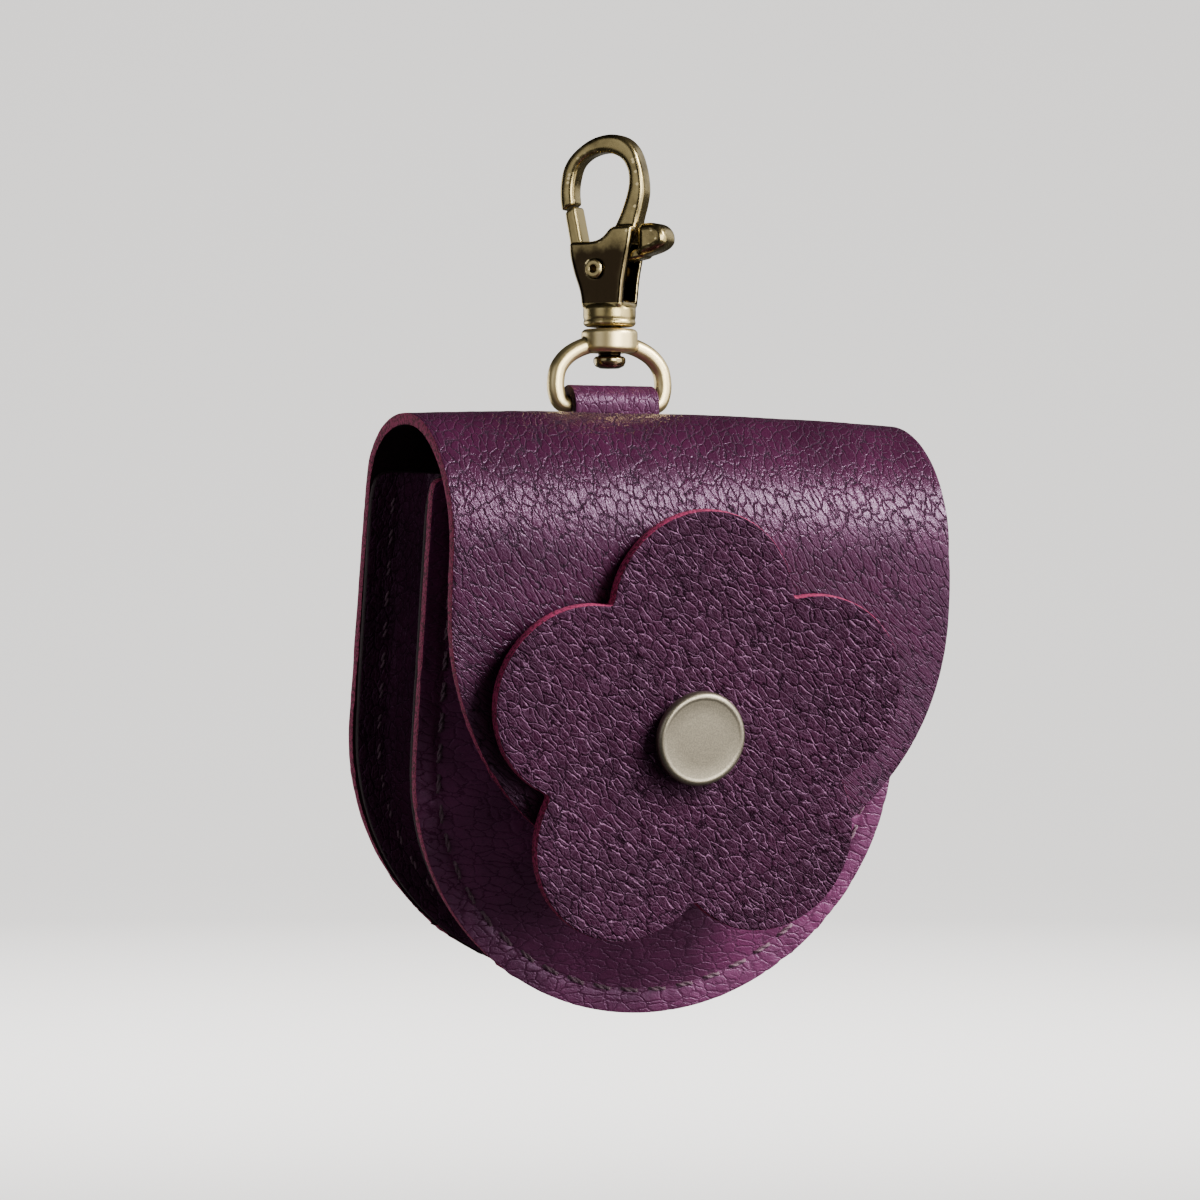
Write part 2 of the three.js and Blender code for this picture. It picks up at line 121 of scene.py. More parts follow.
# Flower
PETALS = 5
PETAL_RADIUS = 12.9
PETAL_CENTRE = 17.0
PETAL_TURN = math.radians(92.3)
FLOWER_MIDDLE = (SNAP[0] + 0.4, SNAP[1])
FLOWER_ROUNDING = 1.3

# Stitches: their length, how far the thread's middle lies inside the outer and the inner
# leather, how far below the tops of the gusset and the front they start, and their slant
STITCH = {"length": 3.1, "sunk": 0.1, "sunk_inside": 0.05, "below_gusset": 2.5, "below_front": 1.5,
          "slant": math.radians(5)}

# Snap cap and clasp, the clasp in its own frame with its face towards -Y
CAP = {"radius": 6.25, "height": 1.7, "post": 1.6}
HOOK_THICK = 3.1
BODY_THICK = 5.6
LEVER_THICK = 3.0
KNOB_THICK = 4.4
PIVOT = (-0.8, -15.9)
LEVER_REACH = 9.7
LEVER_HUB = 2.5
PIN = {"bore": 0.55, "shank": 0.95, "head": 1.3, "lip": 0.3}
BASE = {"radius": 3.6, "top": -20.8, "bottom": -23.7}
POST = {"radius": 1.55, "head": 2.2, "top": -27.7, "bottom": -29.4, "depth": 2}
COLLAR = {"radius": 3.85, "top": -24.0, "bottom": -27.2}
CUT_PAST = 2
CUT_HALF = 6
HOOK_OUTSIDE = (
    (-6.8, -7.9), (-7.05, -6), (-7, -4), (-6.4, -1.6), (-4.9, 0.3), (-2.4, 1.9), (0.4, 2.5), (2.7, 2),
    (4.4, 0.4), (5.4, -2.2), (5.8, -5), (5.5, -7.2), (4.9, -9.4), (4.4, -12.4))
HOOK_INSIDE = (
    (0, -11.5), (1, -10.6), (1.9, -9.1), (2.6, -7.5), (3.2, -5.8), (3.5, -4.2), (3.3, -2.4), (2.2, -0.8),
    (0, 0), (-2.4, -0.4), (-4.1, -1.6), (-4.8, -3.4), (-5, -5.2), (-4.8, -7.2))
RING_HALF = (
    (3, -26.2), (5.8, -27.4), (7.5, -29.2), (8, -31.2), (7.85, -32.9), (7.2, -34.1), (5.6, -34.5), (2, -34.5))

# Faces across a panel, and the rows down its round end. They stop at an angle down its edge,
# and the last of them lies on the edge.
COLUMNS = 30
ROUND_ROWS = 13
ROUND_END = math.radians(45)

# An edge that turns by more than this is rounded
SHARP = math.radians(50)

# Soft studio lights: name, place, aim, size, power and colour. The one called metal lights
# the metal pieces alone.
LAMPS = (
    ("key", (0.41, -0.4, 0.31), (0, -0.02, -0.06), 0.26, 8.2, (1.0, 0.98, 0.96)),
    ("side", (0.45, -0.33, -0.06), (0, -0.01, -0.07), 0.45, 2.0, (1.0, 0.98, 0.97)),
    ("low", (0.27, -0.6, -0.2), (0, -0.01, -0.08), 0.4, 0.22, (1.0, 0.99, 0.98)),
    ("left", (-0.7, -0.3, 0.1), (0, -0.01, -0.07), 0.5, 0.7, (0.95, 0.96, 1.0)),
    ("edge", (0.7, 0.25, 0.2), (0, -0.01, -0.06), 0.4, 0.5, (0.96, 0.97, 1.0)),
    ("metal", (0.1, -0.6, 0.05), (0, 0, -0.02), 0.35, 4.6, (1.0, 0.99, 0.95)),
    ("rear", (-0.35, 0.65, -0.12), (0, 0, -0.08), 0.5, 2.2, (1.0, 0.99, 0.98)),
    ("backdrop", (0.35, 0.8, 0.9), (1.1, 2.4, 0.1), 1.2, 85, (1.0, 0.99, 0.98)),
)

PART_PLACE = Matrix.Diagonal((MM, MM, MM, 1))
POUCH_PLACE = (
    Matrix.Translation(RING_BAR)
    @ Matrix.Rotation(POUCH_TILT, 4, "X")
    @ PART_PLACE
    @ Matrix.Translation((0, -BAR[0], -BAR[1]))
)
CLASP_PLACE = Matrix.Rotation(HOOK_TURN, 4, "Z") @ PART_PLACE


class PouchSizes(bpy.types.PropertyGroup):
    """Sizes of the finish that a user would change."""

    stitch_pitch: FloatProperty(
        name="Stitch pitch", description="Distance from one stitch to the next",
        default=0.0041, min=0.002, unit="LENGTH")
    stitch_inset: FloatProperty(
        name="Stitch inset", description="Distance from the raw edge to the line of stitches",
        default=0.0032, min=0.001, unit="LENGTH")
    thread_radius: FloatProperty(
        name="Thread radius", description="Radius of one ply of the thread",
        default=0.00019, min=0.0001, unit="LENGTH")
    raw_edge: FloatProperty(
        name="Edge rounding", description="How far the cut edges of the leather are rounded",
        default=0.00022, min=0.00005, unit="LENGTH")
    petal_lift: FloatProperty(
        name="Petal lift", description="How far the petals' tips stand off the flap",
        default=0.00045, min=0.0, unit="LENGTH")
    floor_drop: FloatProperty(
        name="Floor drop", description="Distance from the bottom of the pouch down to the floor",
        default=0.12, min=0.001, unit="LENGTH")


class PouchColours(bpy.types.PropertyGroup):
    """Colours of the finish that a user would change."""

    grain: FloatVectorProperty(
        name="Leather", description="Colour of the leather's grain side",
        default=(0.085, 0.014, 0.053), size=3, min=0, max=1, subtype="COLOR")
    # This colour paints highlights: the pale lines on the crease walls that face the key light
    crease: FloatVectorProperty(
        name="Crease", description="Colour of the fine pale creases between the pebbles",
        default=(0.36, 0.17, 0.31), size=3, min=0, max=1, subtype="COLOR")
    edge: FloatVectorProperty(
        name="Raw edge", description="Colour of the cut fibres at the leather's edges",
        default=(0.56, 0.045, 0.17), size=3, min=0, max=1, subtype="COLOR")
    flesh: FloatVectorProperty(
        name="Flesh side", description="Colour of the inner side of the leather",
        default=(0.035, 0.005, 0.014), size=3, min=0, max=1, subtype="COLOR")
    thread: FloatVectorProperty(
        name="Thread", description="Colour of the sewing thread",
        default=(0.32, 0.17, 0.24), size=3, min=0, max=1, subtype="COLOR")
    brass: FloatVectorProperty(
        name="Brass", description="Colour of the rubbed antique brass",
        default=(0.44, 0.345, 0.15), size=3, min=0, max=1, subtype="COLOR")
    patina: FloatVectorProperty(
        name="Patina", description="Colour of the dark patina in the recesses",
        default=(0.034, 0.023, 0.012), size=3, min=0, max=1, subtype="COLOR")
    cap: FloatVectorProperty(
        name="Snap cap", description="Colour of the satin snap cap",
        default=(0.34, 0.3, 0.225), size=3, min=0, max=1, subtype="COLOR")


# Helpers for modelling

def clamp(value, low=0.0, high=1.0):
    return min(max(value, low), high)


def smooth(start, end, value):
    share = clamp((value - start) / (end - start))
    return share * share * (3 - 2 * share)


def mix(a, b, share):
    return a + (b - a) * share


def only(obj):
    """Makes the piece the one selected object."""
    if bpy.context.mode != "OBJECT":
        bpy.ops.object.mode_set(mode="OBJECT")
    bpy.ops.object.select_all(action="DESELECT")
    obj.select_set(True)
    bpy.context.view_layer.objects.active = obj


def fresh(name, add, **how):
    """Adds a primitive with its operator, alone in the selection, and names it."""
    bpy.ops.object.select_all(action="DESELECT")
    add(**how)
    obj = bpy.context.active_object
    obj.name = obj.data.name = name
    return obj


def edit(obj, chosen=None):
    """Opens the piece in edit mode with the vertices that pass the test selected."""
    only(obj)
    bpy.ops.object.mode_set(mode="EDIT")
    choose(obj, chosen or (lambda co: True))


def choose(obj, chosen):
    """Selects the vertices that pass the test, and what lies wholly between them."""
    shape = bmesh.from_edit_mesh(obj.data)
    for part in (shape.faces, shape.edges, shape.verts):
        for item in part:
            item.select = False
    for vertex in shape.verts:
        vertex.select = chosen(vertex.co)
    shape.select_flush(True)
    bmesh.update_edit_mesh(obj.data)


def done():
    bpy.ops.object.mode_set(mode="OBJECT")


def apply(obj, kind, **settings):
    """Adds one modifier with its settings and applies it."""
    only(obj)
    modifier = obj.modifiers.new(kind, kind)
    for key, value in settings.items():
        setattr(modifier, key, value)
    bpy.ops.object.modifier_apply(modifier=modifier.name)


def subdivided(obj, levels):
    apply(obj, "SUBSURF", levels=levels, render_levels=levels)


def turned_over(obj):
    """Makes a sheet face the other way."""
    edit(obj)
    bpy.ops.mesh.flip_normals()
    done()


def face_outward():
    """Makes the closed shapes in edit mode face outward."""
    bpy.ops.mesh.select_all(action="SELECT")
    bpy.ops.mesh.normals_make_consistent(inside=False)


def drawn_out(name, columns, rows, outward):
    """A sheet made by drawing a chain of edges out from row to row.

    A row is (x, y, z, half width). The sheet's first face is made to look outward."""
    obj = fresh(name, bpy.ops.mesh.primitive_grid_add, x_subdivisions=columns, y_subdivisions=1, size=2)
    edit(obj, lambda co: co.y > 0)
    bpy.ops.mesh.delete(type="VERT")
    bpy.ops.mesh.select_all(action="SELECT")
    here, width = Vector((0, -1, 0)), 1
    for index, (x, y, z, half) in enumerate(rows):
        there = Vector((x, y, z))
        if index:
            bpy.ops.mesh.extrude_region_move(TRANSFORM_OT_translate={"value": there - here})
        else:
            bpy.ops.transform.translate(value=there - here)
        bpy.ops.transform.resize(value=(half / width, 1, 1), center_override=there)
        here, width = there, half
    done()
    mesh = obj.data
    if len(mesh.vertices) != (columns + 1) * len(rows):
        raise RuntimeError(f"{name} has {len(mesh.vertices)} vertices where its rows need another number")
    if mesh.polygons[0].normal.dot(Vector(outward)) < 0:
        turned_over(obj)
    return obj


def laid_flat(obj, place):
    """Keeps the place of each vertex on the flat leather as an attribute, for the grain."""
    flat = obj.data.attributes.new("flat", "FLOAT_VECTOR", "POINT")
    for vertex in obj.data.vertices:
        flat.data[vertex.index].vector = (*place(vertex.index, vertex.co), 0)


def chain(name, points):
    """An open chain of edges through the points."""
    obj = fresh(name, bpy.ops.mesh.primitive_grid_add, x_subdivisions=len(points) - 1,
                y_subdivisions=1, size=2)
    edit(obj, lambda co: co.y > 0)
    bpy.ops.mesh.delete(type="VERT")
    done()
    for vertex, point in zip(sorted(obj.data.vertices, key=lambda vertex: vertex.co.x), points):
        vertex.co = point
    return obj


def spun(name, profile, rounding=0.0, steps=64):
    """A turned piece about the Z axis from a profile of (radius, height)."""
    obj = chain(name, [(radius, 0, height) for radius, height in profile])
    edit(obj)
    bpy.ops.mesh.spin(steps=steps, angle=2 * math.pi, center=(0, 0, 0), axis=(0, 0, 1))
    bpy.ops.mesh.select_all(action="SELECT")
    bpy.ops.mesh.remove_doubles(threshold=1e-4)
    face_outward()
    done()
    if rounding:
        apply(obj, "BEVEL", width=rounding, segments=3, limit_method="ANGLE", angle_limit=math.radians(35))
    return obj


def rod(name, radius, bottom, top):
    """A straight round bar about the Z axis, to cut a hole with."""
    return spun(name, [(0, bottom), (radius, bottom), (radius, top), (0, top)])


def plate(name, outline, thickness, rounding):
    """A flat outline in X and Z, given thickness about y = 0 and rounded along both faces."""
    obj = fresh(name, bpy.ops.mesh.primitive_circle_add, vertices=len(outline), radius=1, fill_type="NGON")
    reshape(obj, lambda index, co: Vector((outline[index][0], -thickness / 2, outline[index][1])))
    edit(obj)
    bpy.ops.mesh.extrude_region_move(TRANSFORM_OT_translate={"value": (0, thickness, 0)})
    face_outward()
    done()
    if rounding:
        apply(obj, "BEVEL", width=rounding, segments=3, limit_method="ANGLE", angle_limit=SHARP,
              use_clamp_overlap=False)
    return obj


def combined(obj, others, operation):
    """Joins the others to the piece or cuts them out of it, and removes them."""
    for other in others:
        apply(obj, "BOOLEAN", object=other, operation=operation, solver="MANIFOLD")
        bpy.data.objects.remove(other)


def cast(obj, voxel, rounds):
    """Softens every edge and joint as in a casting."""
    apply(obj, "REMESH", mode="VOXEL", voxel_size=voxel)
    apply(obj, "SMOOTH", factor=0.5, iterations=rounds)
    return obj


def rubbed(obj, level):
    """Marks how far handling has rubbed the patina off, from a level (0 to 1) at each place."""
    marks = obj.data.attributes.new("rubbed", "FLOAT", "POINT").data
    for vertex, mark in zip(obj.data.vertices, marks):
        mark.value = level(vertex.co)
    return obj


def turned_about(obj, x, z):
    """Lays a piece that was turned about Z along -Y instead, at a place in X and Z."""
    obj.data.transform(Matrix.Translation((x, 0, z)) @ Matrix.Rotation(math.pi / 2, 4, "X"))
    return obj


def through(corners, steps=6):
    """Points of a smooth curve through the corners, without its last one."""
    points, last = [], len(corners) - 1
    for index in range(last):
        before, start, end, after = (Vector(corners[clamp(index + k, 0, last)]) for k in (-1, 0, 1, 2))
        for step in range(steps):
            t = step / steps
            points.append(0.5 * (
                2 * start + (end - before) * t + (2 * before - 5 * start + 4 * end - after) * t ** 2
                + (3 * start - before - 3 * end + after) * t ** 3))
    return [tuple(point) for point in points]


def bent(start, pull, end, steps=6):
    """Points of a bend from start to end, without the last one."""
    points = []
    for step in range(steps):
        t = step / steps
        points.append(tuple(
            a * (1 - t) ** 2 + 2 * b * t * (1 - t) + c * t * t for a, b, c in zip(start, pull, end)))
    return points


def about(centre, radius, angle):
    """The point at a distance and an angle from a centre."""
    return centre[0] + radius * math.cos(angle), centre[1] + radius * math.sin(angle)


def reshape(obj, change):
    """Moves each vertex to where change(index, place) puts it."""
    for vertex in obj.data.vertices:
        vertex.co = change(vertex.index, vertex.co)
    obj.data.update()


def emboss(obj, height):
    """Moves each vertex along its normal by height(flat place, place), in millimetres."""
    mesh = obj.data
    flat = mesh.attributes["flat"].data
    normals = [vertex.normal.copy() for vertex in mesh.vertices]
    for vertex, normal in zip(mesh.vertices, normals):
        vertex.co += normal * height(flat[vertex.index].vector, vertex.co)
    mesh.update()


def thickened(obj, thickness, rounding, materials):
    """Gives a sheet its thickness on both sides and rounds its cut edges.

    The materials are those of the grain side, the flesh side and the cut edge."""
    painted(obj, *materials)
    apply(
        obj, "SOLIDIFY", thickness=thickness, offset=0, use_even_offset=True,
        use_rim=True, material_offset=1, material_offset_rim=2)
    apply(obj, "BEVEL", width=rounding, segments=2, limit_method="ANGLE", angle_limit=SHARP)


def placed(obj, place):
    """Brings a finished piece from its own frame to the frame of the whole part."""
    obj.data.transform(place)
    obj.matrix_world = Matrix.Identity(4)
    obj.data.update()
    only(obj)
    bpy.ops.object.shade_smooth_by_angle(angle=math.radians(40))
    return obj


def painted(obj, *materials):
    obj.data.materials.clear()
    for material in materials:
        obj.data.materials.append(material)
    return obj


# The shape of the leather

def flap_curl(x, z):
    """How far the flap's sides fall back behind its middle."""
    return FLAP["curl"] * (x / FLAP["half"]) ** 2 * smooth(10, 40, -z)


def flap_drift(z):
    """How far the flap hangs to the right of the middle."""
    return FLAP["drift"] * smooth(10, 42, -z)


def ridge_droop(x):
    """How far the ridge of the fold sinks on both sides of its highest place."""
    highest, reach = -8, 44
    return FOLD["droop"] * ((x - highest) / reach) ** 2


def front_inset(x, z):
    """Distance from the front panel's edge."""
    low = z < FRONT["bend"]
    return FRONT["half"] - (math.hypot(x, z - FRONT["bend"]) if low else abs(x))


def front_face(x, z):
    """The front panel's outer surface: flat at the hem, domed inside it and lower at its top."""
    slope, at_top = 24, 0.5
    rise = math.sin(clamp((front_inset(x, z) - FRONT["hem"]) / slope) * math.pi / 2)
    return FRONT["y"] - FRONT["dome"] * rise * (at_top + (1 - at_top) * smooth(7, 26, -z))


def round_rows(panel):
    """Angle, height and half width at the edge of each row down a round end."""
    for step in range(ROUND_ROWS + 1):
        angle = ROUND_END * step / ROUND_ROWS
        yield angle, panel["bend"] - panel["half"] * math.sin(angle), panel["half"] * math.cos(angle)


def arched(panel, angle, share):
    """Height of a row of a round end, at a share of its half width from the middle."""
    bow = math.sqrt(1 - (math.cos(ROUND_END) * share) ** 2) / math.sin(ROUND_END)
    return panel["bend"] - panel["half"] * math.sin(angle) * bow


def hem_places(panel, top, inset, pitch):
    """Places spaced evenly down one side, round the end and up the other: (x, z, angle)."""
    radius = panel["half"] - inset
    straight = top - panel["bend"]
    length = 2 * straight + math.pi * radius
    count = round(length / pitch)
    for index in range(count):
        along = (index + 0.5) * length / count
        turn = clamp((along - straight) / radius, 0, math.pi)
        x = -radius * math.cos(turn)
        z = panel["bend"] - radius * math.sin(turn)
        if along < straight:
            z += straight - along
        elif turn >= math.pi:
            z += along - straight - math.pi * radius
        yield x, z, turn


def fold_row(angle):
    """Middle of the leather over the fold at an angle from the back, and its share of the rise."""
    half = LEATHER / 2
    behind = angle < math.pi / 2
    reach = -FOLD["ridge"] - half if behind else FOLD["ridge"] - FLAP["y"] - half
    low = FOLD["back"] if behind else FOLD["front"]
    power = 1 if behind else 2 / FOLD["fullness"]
    lean = math.cos(angle)
    y = FOLD["ridge"] + math.copysign(reach * abs(lean) ** power, lean)
    rise = math.sin(angle) ** power
    return y, low + (-half - low) * rise, rise


def wrinkles(u, v, long_way, across, seed):
    """Shallow creases that run mostly one way over the leather, from 0 to 1 deep."""
    sharpness, finer_scale, share = 3.2, 2.3, 0.7
    place = Vector((u * across, v * long_way, seed))
    ridge = 1 - abs(noise.noise(place)) * sharpness
    finer = 1 - abs(noise.noise(place * finer_scale + Vector((7, 3, 1)))) * sharpness
    return max(ridge, 0) ** 2 * share + max(finer, 0) ** 2 * (1 - share)


def sway(u, v, size, seed):
    """Slow waves in a sheet that never lies quite flat."""
    return noise.noise(Vector((u / size, v / size, seed)))


def hem_relief(inset, along, pitch, line):
    """Puckers between a line of stitches and the edge, with a groove under the thread."""
    groove_depth, groove_width, pucker_depth, ripple = 0.3, 0.6, 0.2, 0.12
    groove = -groove_depth * math.exp(-((inset - line) / groove_width) ** 2)
    uneven = noise.noise(Vector((along / 3, inset / 6, 2.7)))
    strength = clamp(0.5 + 1.1 * noise.noise(Vector((along / 5, 4.1, 0.7))), 0.1, 1)
    crease = max(0, 1 - abs(math.sin(math.pi * along / pitch + 3.4 * uneven)) * 2.2)
    near = smooth(line + 1.8, line - 0.4, inset) * strength
    return groove - pucker_depth * crease * near + ripple * uneven * near


def grain_lean(v):
    """How far the grain is carried sideways: its creases turn from one diagonal to the other."""
    upright, turning, before, after = 32, 0.043, 14, 26
    near = clamp(v - upright, -before, after)
    return turning * (near * near / 2 + near * (v - upright - near))


def back_flap_sheet():
    """Back, fold and flap are one piece of leather."""
    back_steps, fold_steps, flap_steps = 12, 18, 3
    half = LEATHER / 2
    rows, shapes = [], []

    def row(kind, angle, place):
        rows.append(place)
        shapes.append((kind, angle))

    for angle, z, width in reversed(list(round_rows(BACK))):
        row("back", angle, (0, -half, z, width))
    for step in range(1, back_steps):
        share = step / back_steps
        z, width = mix(BACK["bend"], FOLD["back"], share), mix(BACK["half"], FOLD["half"], share)
        row("back", 0, (0, -half, z, width))
    length = 0
    for step in range(fold_steps + 1):
        y, z, rise = fold_row(math.pi * step / fold_steps)
        if step:
            length += math.hypot(y - rows[-1][1], z - rows[-1][2])
        row("fold", (rise, length), (0, y, z, FOLD["half"]))
    for step in range(1, flap_steps):
        z = mix(FOLD["front"], FLAP["bend"], step / flap_steps)
        row("flap", 0, (0, FLAP["y"] + half, z, FLAP["half"]))
    for angle, z, width in round_rows(FLAP):
        row("flap", angle, (0, FLAP["y"] + half, z, width))
    obj = drawn_out("back_and_flap", COLUMNS, rows, (0, 1, 0))

    def drape(index, co):
        at = index // (COLUMNS + 1)
        kind, angle = shapes[at]
        x, y, z = co
        if kind == "fold":
            return Vector((x, y + flap_curl(x, z) * (y < FOLD["ridge"]), z - ridge_droop(x) * angle[0]))
        if angle:
            z = arched(BACK if kind == "back" else FLAP, angle, x / rows[at][3])
        if kind == "flap":
            return Vector((x + flap_drift(z), y + flap_curl(x, z), z))
        return Vector((x, y, z))

    def flat_place(index, co):
        kind, angle = shapes[index // (COLUMNS + 1)]
        if kind == "fold":
            v = angle[1]
        else:
            v = co.z - FOLD["back"] if kind == "back" else length + FOLD["front"] - co.z
        return co.x - grain_lean(v), v

    reshape(obj, drape)
    laid_flat(obj, flat_place)
    subdivided(obj, 2)
    return obj


def front_sheet():
    straight = 12
    half = LEATHER / 2
    rows = [
        (0, FRONT["y"], mix(FRONT["top"], FRONT["bend"], step / straight), FRONT["half"])
        for step in range(straight)]
    angles = [0] * straight
    for angle, z, width in round_rows(FRONT):
        rows.append((0, FRONT["y"], z, width))
        angles.append(angle)
    obj = drawn_out("front", COLUMNS, rows, (0, -1, 0))

    def bend(index, co):
        at = index // (COLUMNS + 1)
        z = arched(FRONT, angles[at], co.x / rows[at][3]) if angles[at] else co.z
        return Vector((co.x, co.y, z))

    reshape(obj, bend)
    laid_flat(obj, lambda index, co: (co.x, co.z))
    subdivided(obj, 2)
    reshape(obj, lambda index, co: Vector((co.x, front_face(co.x, co.z) + half, co.z)))
    return obj


def gusset_sheet():
    """The channel between back and front, its edges turned outward against the panels."""
    back = -LEATHER - GAP - GUSSET_LEATHER / 2
    front = FRONT["y"] + LEATHER + GAP + GUSSET_LEATHER / 2
    turned_width = 4.7
    section = [
        (0.2, back), (3.6, back), (turned_width, back - 0.5), (5.2, back - 1.6), (5.9, back - 4.6),
        (6.6, (back + front) / 2),
        (5.9, front + 4.6), (5.2, front + 1.6), (turned_width, front + 0.5), (3.6, front), (0.2, front)]
    obj = chain("gusset_leather", [(inset - BACK["half"], y, GUSSET_TOPS[0]) for inset, y in section])
    edit(obj)
    straight, bend_steps = 5, 30
    drop = (GUSSET_TOPS[0] - BACK["bend"]) / straight
    for step in range(straight):
        bpy.ops.mesh.extrude_region_move(TRANSFORM_OT_translate={"value": (0, 0, -drop)})
    bpy.ops.mesh.spin(steps=bend_steps, angle=math.pi, center=(0, 0, BACK["bend"]), axis=(0, 1, 0))
    for step in range(straight):
        bpy.ops.mesh.extrude_region_move(TRANSFORM_OT_translate={"value": (0, 0, drop)})
    done()

    def fit(index, co):
        """Fits the front side to the slightly smaller and lower front panel."""
        share = (co.y - back) / (front - back)
        narrower = 1 - share * (BACK["half"] - FRONT["half"]) / BACK["half"]
        bend = mix(BACK["bend"], FRONT["bend"], share)
        top = mix(*GUSSET_TOPS, share)
        if co.z > BACK["bend"]:
            z = mix(bend, top, (co.z - BACK["bend"]) / (GUSSET_TOPS[0] - BACK["bend"]))
        else:
            z = bend + (co.z - BACK["bend"]) * narrower
        return Vector((co.x * narrower, co.y, z))

    def flat_place(index, co):
        """Across the channel with its turned edges, and along it from its left end."""
        below = min(0, co.z - BACK["bend"])
        along = BACK["half"] * math.atan2(below, co.x)
        turned = max(0, turned_width - BACK["half"] + math.hypot(co.x, below))
        across = co.y + math.copysign(turned, co.y - (back + front) / 2)
        return across, abs(along) + max(0, co.z - BACK["bend"]) * math.copysign(1, -co.x)

    laid_flat(obj, flat_place)
    reshape(obj, fit)
    face = obj.data.polygons[0]
    if face.normal.x * face.center.x < 0:
        turned_over(obj)
    subdivided(obj, 2)
    return obj


def tab_sheet():
    """A strap folded round the ring bar, both ends lying on the outside of the back."""
    columns, straight, round_steps = 8, 5, 8
    inner = WIRE + GAP
    middle = inner + TAB_LEATHER / 2
    near = GAP + TAB_LEATHER / 2
    far = near + TAB_LEATHER + GAP
    y, z = BAR
    path = [(near, mix(TAB_END, TAB_SETTLE, step / straight)) for step in range(straight)]
    path += [(near, TAB_SETTLE), (near - 0.15, -6.6), (near - 0.75, -4.6), (y - middle - 0.05, -2.8)]
    turns = [math.pi * step / round_steps for step in range(round_steps + 1)]
    path += [(y - middle * math.cos(turn), z + middle * math.sin(turn)) for turn in turns]
    path += [(far + 0.62, -3.2), (far + 0.3, -5.4), (far + 0.08, -7.4)]
    path += [(far, mix(TAB_SETTLE, TAB_END, step / straight)) for step in range(straight + 1)]
    lengths = [0]
    for before, after in zip(path, path[1:]):
        lengths.append(lengths[-1] + math.dist(before, after))
    obj = drawn_out("tab", columns, [(0, y, z, TAB_HALF) for y, z in path], (0, -1, 0))
    laid_flat(obj, lambda index, co: (co.x, lengths[index // (columns + 1)]))
    subdivided(obj, 2)
    return obj


def petal_edge(angle):
    """Distance from the flower's middle to its edge in one direction."""
    step = 2 * math.pi / PETALS
    off = (angle - PETAL_TURN + step / 2) % step - step / 2
    side = PETAL_CENTRE * math.sin(off)
    return PETAL_CENTRE * math.cos(off) + math.sqrt(PETAL_RADIUS ** 2 - side ** 2)


def flower_sheet(lift):
    """Rings drawn out from a small hole and then pulled into petals."""
    sectors, rings = 160, 28
    obj = fresh("flower_leather", bpy.ops.mesh.primitive_circle_add, vertices=sectors, radius=1,
                fill_type="NOTHING")
    edit(obj)
    bpy.ops.transform.rotate(value=PETAL_TURN, orient_axis="Z", center_override=(0, 0, 0))
    for ring in range(1, rings + 1):
        bpy.ops.mesh.extrude_region_move()
        grown = (ring + 1) / ring
        bpy.ops.transform.resize(value=(grown, grown, 1), center_override=(0, 0, 0))
    done()

    def spread(index, co):
        angle = math.atan2(co.y, co.x)
        share = (math.hypot(co.x, co.y) - 1) / rings
        radius = mix(SNAP_HOLE, petal_edge(angle), share)
        x = FLOWER_MIDDLE[0] + radius * math.cos(angle)
        z = FLOWER_MIDDLE[1] + radius * math.sin(angle)
        y = FLAP["y"] - GAP - PETAL_LEATHER / 2 + flap_curl(x, z)
        uneven = 1 + 0.6 * math.sin(2.3 * angle + 0.7)
        rise = lift * smooth(14, 29, radius) * uneven
        return Vector((x, y - rise, z))

    reshape(obj, spread)
    laid_flat(obj, lambda index, co: (co.x, co.z))
    if obj.data.polygons[0].normal.y > 0:
        turned_over(obj)
    subdivided(obj, 1)
    return obj


# Materials

